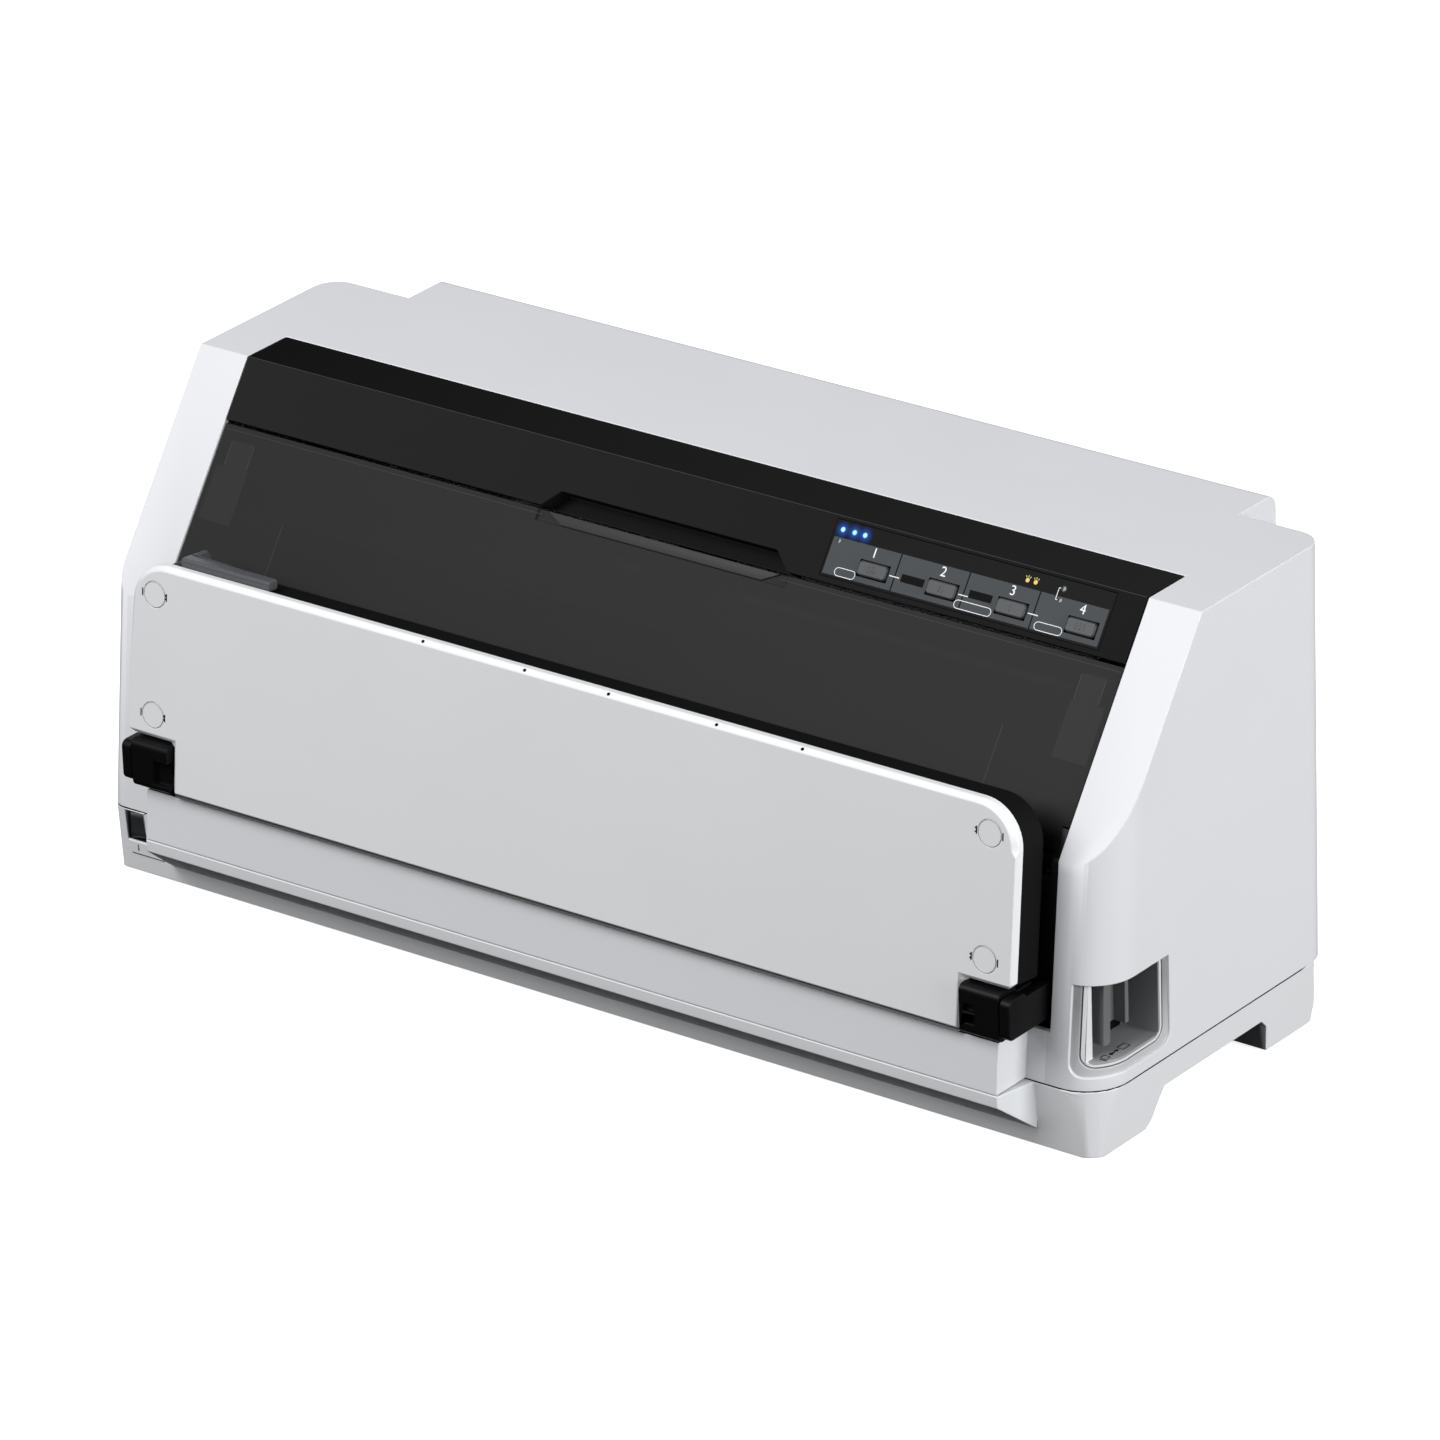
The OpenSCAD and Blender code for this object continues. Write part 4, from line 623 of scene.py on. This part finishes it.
def plate(name, x, y, height, corner=0.0, rim=0.0, hole=0.0, base=0.0, turn=0.0, taper=1.0):
    """A flat piece in millimetres: x and y are (low, high), and height is its thickness.

    A taper below 1 narrows the low edge."""
    clear_selection()
    bpy.ops.mesh.primitive_plane_add(size=1)
    piece = bpy.context.active_object
    piece.name = piece.data.name = name
    piece.scale = ((x[1] - x[0]) * MM, (y[1] - y[0]) * MM, 1)
    bpy.ops.object.transform_apply(scale=True)
    for vertex in piece.data.vertices:
        if vertex.co.y < 0:
            vertex.co.x *= taper
    bpy.ops.object.mode_set(mode="EDIT")
    bpy.ops.mesh.select_all(action="SELECT")
    if corner:
        bpy.ops.mesh.bevel(affect="VERTICES", offset=corner * MM, segments=6)
        bpy.ops.mesh.select_all(action="SELECT")
    if hole:
        bpy.ops.mesh.inset(thickness=hole * MM)
        bpy.ops.mesh.delete(type="FACE")
        bpy.ops.mesh.select_all(action="SELECT")
    bpy.ops.mesh.extrude_region_move(TRANSFORM_OT_translate={"value": (0, 0, height * MM)})
    if rim:
        bpy.ops.mesh.bevel(affect="EDGES", offset=rim * MM, segments=2)
    bpy.ops.mesh.select_all(action="SELECT")
    bpy.ops.mesh.normals_make_consistent(inside=False)
    bpy.ops.object.mode_set(mode="OBJECT")
    middle = Vector(((x[0] + x[1]) / 2, (y[0] + y[1]) / 2, base)) * MM
    settle(piece, Matrix.Translation(middle) @ Matrix.Rotation(math.radians(turn), 4, "Z"))
    return piece


def joined(name, pieces, place, body, material):
    """Joins flat details into one piece, lays it on its plane and finishes it."""
    pick(pieces[0])
    for piece in pieces:
        piece.select_set(True)
    if len(pieces) > 1:
        bpy.ops.object.join()
    piece = bpy.context.active_object
    piece.name = piece.data.name = name
    settle(piece, place)
    bpy.ops.object.shade_smooth_by_angle(angle=math.radians(40))
    piece.data.materials.clear()
    piece.data.materials.append(material)
    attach(piece, body)
    return piece


def disc(name, x, y, radius, height, base=0.0, sides=24, rim=0.0):
    """A round flat piece, in millimetres, extruded from a filled circle."""
    clear_selection()
    bpy.ops.mesh.primitive_circle_add(vertices=sides, radius=radius * MM, fill_type="NGON")
    piece = bpy.context.active_object
    piece.name = name
    bpy.ops.object.mode_set(mode="EDIT")
    bpy.ops.mesh.select_all(action="SELECT")
    if height:
        bpy.ops.mesh.extrude_region_move(TRANSFORM_OT_translate={"value": (0, 0, height * MM)})
    if rim:
        bpy.ops.mesh.bevel(affect="EDGES", offset=rim * MM, segments=3)
    bpy.ops.mesh.select_all(action="SELECT")
    bpy.ops.mesh.normals_make_consistent(inside=False)
    bpy.ops.object.mode_set(mode="OBJECT")
    settle(piece, Matrix.Translation(Vector((x, y, base)) * MM))
    return piece


def ring(name, x, y, radius, width, height, base=0.0, sides=32):
    """A thin flat ring, in millimetres."""
    piece = disc(name, 0, 0, radius, 0.0, sides=sides)
    pick(piece)
    bpy.ops.object.mode_set(mode="EDIT")
    bpy.ops.mesh.select_all(action="SELECT")
    bpy.ops.mesh.inset(thickness=width * MM)
    bpy.ops.mesh.delete(type="FACE")
    bpy.ops.mesh.select_all(action="SELECT")
    bpy.ops.mesh.extrude_region_move(TRANSFORM_OT_translate={"value": (0, 0, height * MM)})
    bpy.ops.mesh.select_all(action="SELECT")
    bpy.ops.mesh.normals_make_consistent(inside=False)
    bpy.ops.object.mode_set(mode="OBJECT")
    settle(piece, Matrix.Translation(Vector((x, y, base)) * MM))
    return piece


def numeral(text, x, y, size, base, height=0.06):
    """A plain printed number: a text object made a mesh."""
    clear_selection()
    bpy.ops.object.text_add()
    piece = bpy.context.active_object
    piece.data.body = text
    piece.data.size = size * MM
    piece.data.extrude = height * MM / 2
    piece.data.align_x = "CENTER"
    bpy.ops.object.convert(target="MESH")
    piece = bpy.context.active_object
    settle(piece, Matrix.Translation(Vector((x, y, base)) * MM))
    return piece


# %% [markdown]
# The label plate is a printed film. A black band carries the lamps, and four slate fields hold a
# button each. The film is dark and glossy, and the three lit lamps throw a blue glow on it, which
# is an emission that fades with the distance from each lamp.

# %% Label film and lamps
LABEL_X = (79.4, 219.4)
LABEL_S = (slope_at(196.8), slope_at(216.8))
FIELD_TOP = slope_at(211.0)
BUTTON_X = [104.2 + 34.7 * i for i in range(4)]
BUTTON_S = slope_at(202.65)
BUTTON_HALF = (7.2, 3.25)
LAMP_X = (83.5, 89.4, 94.7)
LAMP_S = slope_at(213.5)
SPOT_S = slope_at(209.5)
FILM_TOP = -0.2
DIVIDERS = (115.0, 149.4, 184.4)


def film(name, colour):
    """Printed film, with the lamps' glow on it."""
    f = Finish(name)
    weave = f.noise(0.0005, detail=3)
    slow = f.noise(0.02, detail=2)
    glow = 0.0
    for x in LAMP_X:
        away = f.away(ON_SLOPE @ (Vector((x, LAMP_S, 0)) * MM))
        glow = ((1 - away / 0.0046).at_least(0.0)) ** 2.2 + glow
    return f.surface(height=weave, depth=0.00003, strength=0.1,
                     base_color=f.blend(slow, shade(colour, 0.93), shade(colour, 1.07)),
                     roughness=weave * 0.06 + 0.28, specular_ior_level=0.05,
                     emission_color=f.blend(glow, (0, 0, 0), (0.01, 0.14, 0.75)),
                     emission_strength=1.0)


def lamp(name, colour, glow, core, strength):
    """Lens of a lamp: a clear dome, brighter towards the middle of each lit one."""
    f = Finish(name)
    cloud = f.noise(0.0012, detail=2)
    middle = 0.0
    for x in LAMP_X:
        away = f.away(ON_SLOPE @ (Vector((x, LAMP_S, 0)) * MM))
        middle = (1 - away / 0.0011).at_least(0.0) + middle
    return f.surface(base_color=f.blend(cloud, colour, shade(colour, 1.4)),
                     roughness=cloud * 0.08 + 0.12, coat_weight=0.5,
                     emission_color=f.blend(middle, glow, core), emission_strength=strength)


def ink(name, colour, specular=0.5):
    """Screen-printed ink: a thin, slightly uneven layer."""
    f = Finish(name)
    uneven = f.noise(0.0006, detail=4, roughness=0.7)
    return f.surface(height=uneven, depth=0.00002, strength=0.2,
                     base_color=f.blend(uneven, shade(colour, 0.9), colour),
                     roughness=uneven * 0.2 + 0.42, specular_ior_level=specular)


FILM = film("label_film", (0.0012, 0.0012, 0.0014))
SLATE = film("slate_film", (0.060, 0.066, 0.071))
LIT = lamp("lit_lamp", (0.03, 0.20, 0.60), (0.005, 0.20, 0.95), (0.55, 0.90, 1.0), 1.6)
DARK = lamp("dark_lamp", (0.022, 0.024, 0.026), (0.0, 0.0, 0.0), (0.0, 0.0, 0.0), 0.0)
WHITE_INK = ink("white_ink", (0.86, 0.88, 0.90))
YELLOW_INK = ink("yellow_ink", (0.80, 0.58, 0.12))
# Black ink also paints shade: black sheets stand in for the shade in slots, vents, seams and the
# finger pocket
BLACK_INK_AND_SHADE = ink("black_ink_and_painted_shade", (0.003, 0.003, 0.0033), 0.05)
GREY_INK = ink("grey_ink", (0.10, 0.105, 0.11))

frame["nodes"]["label_plate"].material_slots[0].material = FILM
FINISH_OF["label_plate"] = FILM

edges = (LABEL_X[0] + 1.2, *DIVIDERS, LABEL_X[1] - 1.2)
SLATE_Z = FILM_TOP + 0.005
fields = []
for i, (left, right) in enumerate(zip(edges, edges[1:])):
    low, high, gap = LABEL_S[0] + 1.2, FIELD_TOP - 0.35, 0.35
    x0, x1 = left + (gap if i else 0), right - (gap if i < 3 else 0)
    bx, half = BUTTON_X[i], (BUTTON_HALF[0] + 0.45, BUTTON_HALF[1] + 0.45)
    rows = (low, BUTTON_S - half[1], BUTTON_S + half[1], high)
    fields.append(plate("field", (x0, x1), (rows[0], rows[1]), 0.12, base=SLATE_Z))
    fields.append(plate("field", (x0, x1), (rows[2], rows[3]), 0.12, base=SLATE_Z))
    fields.append(plate("field", (x0, bx - half[0]), (rows[1], rows[2]), 0.12, base=SLATE_Z))
    fields.append(plate("field", (bx + half[0], x1), (rows[1], rows[2]), 0.12, base=SLATE_Z))
joined("label_fields", fields, ON_SLOPE, "case", SLATE)

lit = [disc("lens", x, LAMP_S, 1.15, 0.35, base=-0.35, rim=0.3) for x in LAMP_X]
joined("lit_lamps", lit, ON_SLOPE, "case", LIT)
unlit = [disc("lens", x, s, 1.1, 0.30, base=-0.35, rim=0.25)
         for x, s in ((LAMP_X[0], SPOT_S), (194.4, LAMP_S), (194.4, SPOT_S))]
joined("unlit_lamps", unlit, ON_SLOPE, "case", DARK)

# %% [markdown]
# The film's print is generic: a plain number over each button, and the rings, tabs and lines that
# tie a button to its second use. The print is raised by the thickness of the ink only.

# %% Print on the label film
INK_Z = SLATE_Z + 0.12
INK_T = 0.05
white = []
for i, x in enumerate(BUTTON_X):
    white.append(numeral(str(i + 1), x - 2.0, slope_at(207.0), 6.0, INK_Z))
for left, right in ((86.2, 96.6), (146.4, 165.0), (186.4, 200.2)):
    white.append(plate("ring", (left, right), (BUTTON_S - 5.9, BUTTON_S - 2.1), INK_T,
                       corner=1.85, hole=0.3, base=INK_Z))
for i in range(3):
    right = BUTTON_X[i] + BUTTON_HALF[0] + 1.0
    white.append(plate("line", (right, right + 5.0), (BUTTON_S - 0.2, BUTTON_S + 0.2), INK_T,
                       base=INK_Z))
white.append(plate("line", (192.0, 192.3), (SPOT_S, LAMP_S), INK_T, base=INK_Z))
for s in (SPOT_S, LAMP_S):
    white.append(plate("line", (192.0, 193.0), (s - 0.15, s + 0.15), INK_T, base=INK_Z))
joined("white_print", white, ON_SLOPE, "case", WHITE_INK)

tabs = []
for x, up in ((123.9, 0.4), (157.6, 1.4)):
    tabs.append(plate("tab", (x - 5.7, x + 5.7), (BUTTON_S - 1.7 + up, BUTTON_S + 1.7 + up), INK_T,
                      corner=0.3, base=INK_Z + 0.01))
joined("black_tabs", tabs, ON_SLOPE, "case", BLACK_INK_AND_SHADE)

rays = []
for x in (176.5, 180.5):
    rays.append(disc("ray", x, LAMP_S - 0.4, 0.95, INK_T, base=FILM_TOP + 0.005, sides=16))
    for turn in (-35, 0, 35):
        a = math.radians(turn)
        rx, ry = x + 1.7 * math.sin(a), LAMP_S - 0.4 + 1.7 * math.cos(a)
        rays.append(plate("ray", (rx - 0.15, rx + 0.15), (ry - 0.45, ry + 0.45), INK_T,
                          base=FILM_TOP + 0.005, turn=-turn))
joined("yellow_print", rays, ON_SLOPE, "case", YELLOW_INK)

# %% [markdown]
# Each button has a moulded mark that the fingertip can feel. They are plain bars, three, two or
# one of them, raised a fifth of a millimetre.

# %% Marks on the buttons
MARKS = (((-1.6, 0.5), (0.0, 0.4), (1.2, 0.4)), ((-0.7, 0.4), (0.9, 0.4)),
         ((0.0, 0.5),), ((-2.0, 0.4), (0.0, 0.5), (2.0, 0.4)))
for i, marks in enumerate(MARKS):
    bars = [plate("bar", (BUTTON_X[i] + x - w / 2, BUTTON_X[i] + x + w / 2),
                  (BUTTON_S - 1.5, BUTTON_S + 1.5), 0.25, rim=0.08, base=1.12)
            for x, w in marks]
    joined(f"button_marks_{i + 1}", bars, ON_SLOPE, f"button_{i + 1}", SWITCH)

# %% [markdown]
# The tray's face is plain, apart from four round caps. Each sits between two short slots that a
# blade goes into, and five tiny pips along the top edge mark paper widths.

# %% Details of the tray
# The slots are black sheets of painted shade
slots = []
for side in (-1, 1):
    for z in CAP_Z:
        for end in (-1, 1):
            x = side * CAP_X + end * 6.5
            slots.append(plate("slot", (x - 0.3, x + 0.3), (tray_at(z) - 1.7, tray_at(z) + 1.7),
                               0.06, base=0.0))
            if side * end < 0:
                for up in (-1.1, 0.5):
                    slots.append(plate("slot", (x - 0.8, x - 0.3), (tray_at(z) + up, tray_at(z) +
                                       up + 0.7), 0.06, base=0.0))
joined("cap_slots", slots, ON_TRAY, "tray", BLACK_INK_AND_SHADE)
lines = [ring("outline", side * CAP_X, tray_at(z), 5.78, 0.16, 0.05, sides=14)
         for side in (-1, 1) for z in CAP_Z]
joined("cap_outlines", lines, ON_TRAY, "tray", GREY_INK)
PIP_X = (-73.5, -20.1, 23.5, 78.9, 122.4)
TRAY_TOP = 157.0
ON_CHAMFER = ON_TRAY @ Matrix.Translation(
    Vector((0, tray_at(TRAY_TOP) - CHAMFER / 2, -CHAMFER / 2)) * MM) @ Matrix.Rotation(
    math.radians(-45), 4, "X")
pips = [disc("pip", x, 0.2, 0.75, 0.25, base=-0.02, sides=16, rim=0.12) for x in PIP_X]
joined("tray_pips", pips, ON_CHAMFER, "tray", BLACK_INK_AND_SHADE)

# %% [markdown]
# At the left of the base a bar marks the switch, with a short groove below it. The recess of the
# release lever has two generic signs, a single sheet and a stack, and an arrow between them. The
# slot behind the lever, which lets it out of the case, is a black sheet of painted shade.

# %% Marks on the case
marks = [plate("mark", (-246.6, -246.0), (11, 15), 0.06, base=9.05),
         plate("mark", (-250.0, -232.0), (9.0, 9.5), 0.06, base=8.78)]
joined("switch_marks", marks, ON_FRONT, "case", GREY_INK)

SIGN_BASE = 42.75
signs = [plate("sign", (252.0, 255.4), (13.0, 18.2), 0.06, corner=0.4, hole=0.35, base=SIGN_BASE),
         plate("sign", (251.6, 255.0), (1.6, 4.8), 0.06, corner=0.4, hole=0.35, base=SIGN_BASE),
         plate("sign", (252.4, 255.8), (0.4, 1.0), 0.06, base=SIGN_BASE),
         plate("sign", (253.2, 253.8), (7.0, 11.0), 0.06, base=SIGN_BASE),
         disc("sign", 253.5, 11.0, 1.2, 0.06, base=SIGN_BASE, sides=3),
         disc("sign", 253.5, 7.0, 0.9, 0.06, base=SIGN_BASE, sides=12)]
joined("lever_signs", signs, ON_TOP, "case", BLACK_INK_AND_SHADE)

ON_SIDE = Matrix.Translation(spot(0, 0, 0)) @ Matrix.Rotation(math.radians(90), 4, "Z") @ (
    Matrix.Rotation(math.radians(90), 4, "X"))
# Painted shade: the slot is a black sheet
joined("lever_slot", [plate("slot", (0.2, 32.8), (42.8, 75.8), 0.3, corner=2.0, base=240.5)],
       ON_SIDE, "case", BLACK_INK_AND_SHADE)

# %% [markdown]
# Between two mouldings lies a dark gap. Where the CAD gap is too narrow to swallow the light, a
# black sheet of painted shade is laid into it: one in the seam between the case halves, and one on
# the top of the front strip, under the tray. Small caps fill the corners beside the cover's pins.

# %% Gaps and corners
# Painted shade: black sheets in the seam of the case and on the top of the front strip
seal = plate("seal", (-259.82, 259.82), (-10.3, 154.5), 0.6, corner=19.8, hole=2.0, base=30.3)
corner_seal = plate("seal", (-259.82, -236), (-10.3, 20), 0.6, corner=7.8, hole=2.0, base=30.3)
joined("seam_painted_shade", [seal, corner_seal], ON_TOP, "case", BLACK_INK_AND_SHADE)
joined("strip_shade", [plate("shade", (-222.6, 222.6), (-27.6, -7), 0.1, base=53.42)],
       ON_TOP, "case", BLACK_INK_AND_SHADE)
caps = [plate("cap", (min(a, b), max(a, b)), (1.0, 13.6), 1.4, corner=0.3, rim=0.2, base=-2.4)
        for a, b in ((229.6, 233.5), (-229.6, -233.5))]
joined("corner_caps", caps, ON_SLOPE, "case", HINGE)

# %% [markdown]
# The cover is nearly plain, but the light picks out its mouldings: a lip under the finger pocket,
# a line along its top edge, a shallow field in the middle and a pair of short ribs at either end.
# They are drawn as sheets of a few hundredths of a millimetre in slightly lighter or darker smoke,
# as painted highlights and painted shade.

# %% Mouldings of the cover
COVER_S = slope_at(194.8) - 1.3
# Paler and darker copies of the smoked sheet: painted highlights and painted shade on the cover's
# mouldings
PALE_SMOKE = moulded("smoke_painted_light", (0.0310, 0.0310, 0.0315), rough=0.34, drift=0.06,
                     specular_ior_level=0.04)
LINE_SMOKE = moulded("smoke_painted_highlight", (0.048, 0.048, 0.049), rough=0.34, drift=0.06,
                     specular_ior_level=0.06)
DEEP_SMOKE = moulded("smoke_painted_shade", (0.0234, 0.0234, 0.0239), rough=0.34, drift=0.06,
                     specular_ior_level=0.04)
lip = [plate("lip", (-60.5, 60.5), (COVER_S - 4.6, COVER_S - 0.2), 0.9, rim=0.25, base=-2.48,
             taper=0.86)]
joined("cover_lip", lip, ON_SLOPE, "cover", LINE_SMOKE)
# Painted shade: a black sheet on the floor of the finger pocket
floor_plate = plate("floor", (-62, 62), (84.6, 90.9), 0.05, base=-7.95)
joined("pocket_painted_shade", [floor_plate], ON_SLOPE, "case", BLACK_INK_AND_SHADE)
field = [plate("field", (-187.3, 187.3), (4.0, 47.0), 0.04, base=-1.0)]
joined("cover_field", field, ON_SLOPE, "cover", DEEP_SMOKE)
faint = []
for side in (-1, 1):
    for middle, half, up, corner in ((221.4, 6.2, (64.5, 76.2), 1.2), (222.5, 8.5, (40, 64.5), 0)):
        faint.append(plate("foot", (side * middle - half, side * middle + half), up, 0.03,
                           corner=corner, base=-1.0))
joined("cover_feet", faint, ON_SLOPE, "cover", PALE_SMOKE)
thin = [plate("line", (-232.5, -62), (COVER_S - 2.4, COVER_S - 2.15), 0.05, base=-1.0),
        plate("line", (62, 232.5), (COVER_S - 2.4, COVER_S - 2.15), 0.05, base=-1.0)]
for side in (-1, 1):
    for x in (215.2, 227.2):
        thin.append(plate("line", (side * x - 0.2, side * x + 0.2), (65, 75.5), 0.06, base=-1.0))
    thin.append(plate("line", (side * 187.3 - 0.15, side * 187.3 + 0.15), (20, 47), 0.05,
                      base=-1.0))
joined("cover_lines", thin, ON_SLOPE, "cover", LINE_SMOKE)

# Painted highlight: a thin grey strip along the crease of the panel
ON_CREASE = Matrix.Translation(spot(0, CREASE_D, CASE_TOP)) @ Matrix.Rotation(
    SLOPE_ANGLE / 2, 4, "X")
joined("crease_glint", [plate("glint", (-233, 233), (-0.12, 0.12), 0.04, base=-0.14)],
       ON_CREASE, "case", GLINT)

# %% [markdown]
# The back was not in the photograph, so it is kept generic. The parallel port gets its metal shell
# and two wire clips, the small socket a thin frame, the case vents and the rear cover grip bars.

# %% Details of the back
BACK_D = 155.0
ON_REAR = Matrix.Translation(spot(0, BACK_D, 0)) @ Matrix.Rotation(math.radians(180), 4, "Z") @ (
    Matrix.Rotation(math.radians(90), 4, "X"))
shell = [plate("shell", (200.0, 247.5), (106.8, 116.2), 1.6, corner=2.4, hole=1.0, base=-3.0),
         plate("clip", (196.4, 198.6), (107.5, 115.5), 1.8, corner=0.6, rim=0.4, base=1.02),
         plate("clip", (248.9, 251.1), (107.5, 115.5), 1.8, corner=0.6, rim=0.4, base=1.02),
         plate("shell", (241.2, 248.8), (86.2, 92.8), 1.2, corner=0.8, hole=0.5, base=-3.0)]
joined("port_shells", shell, ON_REAR, "case", ZINC)
# The vents are black sheets of painted shade
vents = [plate("vent", (-246, -196), (z, z + 1.6), 0.06, corner=0.7, base=0.0)
         for z in range(96, 132, 5)]
joined("rear_vents", vents, ON_REAR, "case", BLACK_INK_AND_SHADE)
REAR_D = 245.0
ON_REAR_COVER = Matrix.Translation(spot(0, REAR_D, 0)) @ Matrix.Rotation(
    math.radians(180), 4, "Z") @ Matrix.Rotation(math.radians(90), 4, "X")
grips = [plate("grip", (-32, 32), (z, z + 1.4), 0.7, corner=0.6, rim=0.3, base=-0.05)
         for z in (77, 80.5, 84, 87.5)]
joined("cover_grips", grips, ON_REAR_COVER, "rear_cover", CASE)
ribbon = [plate("band", (-161, -119), (88.0, 100.8), 0.15, base=-69.0)]
joined("ribbon_band", ribbon, ON_FRONT, "carriage", RUBBER)


# %% [markdown]
# The photograph's view is a long lens from the right and above. The printer stands on a plain
# pale floor. A large soft light above the front left gives the slope its bright face, and a
# second one at the right lights the side.

# %% Camera
AZIMUTH, ELEVATION, ROLL = (math.radians(v) for v in (37.65, 24.44, -1.87))
TARGET = Vector((-7.73, -12.86, 92.78)) * MM
DISTANCE = 4.4914
LENS = 36 * 10647.92 / 1440
back = Vector((math.sin(AZIMUTH) * math.cos(ELEVATION), -math.cos(AZIMUTH) * math.cos(ELEVATION),
               math.sin(ELEVATION)))
level = Vector((math.cos(AZIMUTH), math.sin(AZIMUTH), 0))
over = back.cross(level)
right = math.cos(ROLL) * level + math.sin(ROLL) * over
up = math.cos(ROLL) * over - math.sin(ROLL) * level
camera = bpy.data.objects.new("camera", bpy.data.cameras.new("camera"))
bpy.context.scene.collection.objects.link(camera)
camera.data.lens, camera.data.sensor_width = LENS, 36
camera.data.clip_start, camera.data.clip_end = 0.1, 100
camera.matrix_world = Matrix.Translation(TARGET + back * DISTANCE) @ Matrix(
    (right, up, back)).transposed().to_4x4()
bpy.context.scene.camera = camera


# %% Floor and light
def light(name, towards, distance, size, watts):
    """A square soft light that looks at the printer from a direction."""
    lamp_data = bpy.data.lights.new(name, "AREA")
    lamp_data.size, lamp_data.energy = size, watts
    lamp_object = bpy.data.objects.new(name, lamp_data)
    bpy.context.scene.collection.objects.link(lamp_object)
    lamp_object.location = Vector(towards).normalized() * distance + TARGET
    lamp_object.rotation_mode = "QUATERNION"
    lamp_object.rotation_quaternion = Vector(towards).to_track_quat("Z", "Y")


light("key", (-0.22, -0.67, 0.70), 2.8, 2.0, 76)
light("side", (1.0, 0.05, 0.15), 3.0, 1.8, 97)

clear_selection()
bpy.ops.mesh.primitive_grid_add(x_subdivisions=8, y_subdivisions=8, size=30)
floor = bpy.context.active_object
floor.name = "floor"
f = Finish("pale_floor")
dust = f.noise(0.4, detail=3)
floor.data.materials.append(f.surface(
    base_color=f.blend(dust, (0.90, 0.90, 0.90), (0.93, 0.93, 0.93)), roughness=dust * 0.1 + 0.6,
    emission_color=(1.0, 1.0, 1.0), emission_strength=0.85))
floor.visible_diffuse = floor.visible_glossy = False
floor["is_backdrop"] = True

# A black card under the floor keeps light off the undersides
bpy.ops.mesh.primitive_grid_add(x_subdivisions=2, y_subdivisions=2, size=6)
card = bpy.context.active_object
card.name = "black_card"
settle(card, Matrix.Translation((0, 0, -0.01)))
card.data.materials.append(BLACK_INK_AND_SHADE)
card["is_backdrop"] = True

world = bpy.data.worlds.new("studio")
world.use_nodes = True
world.node_tree.nodes["Background"].inputs["Color"].default_value = (0.95, 0.97, 1.0, 1)
world.node_tree.nodes["Background"].inputs["Strength"].default_value = 0.30
bpy.context.scene.world = world
bpy.context.scene.view_settings.view_transform = "Standard"

# %% The size of the visual box
low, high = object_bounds()
print("visual box in mm:", [round(v * 1000, 1) for v in (*low, *high)])
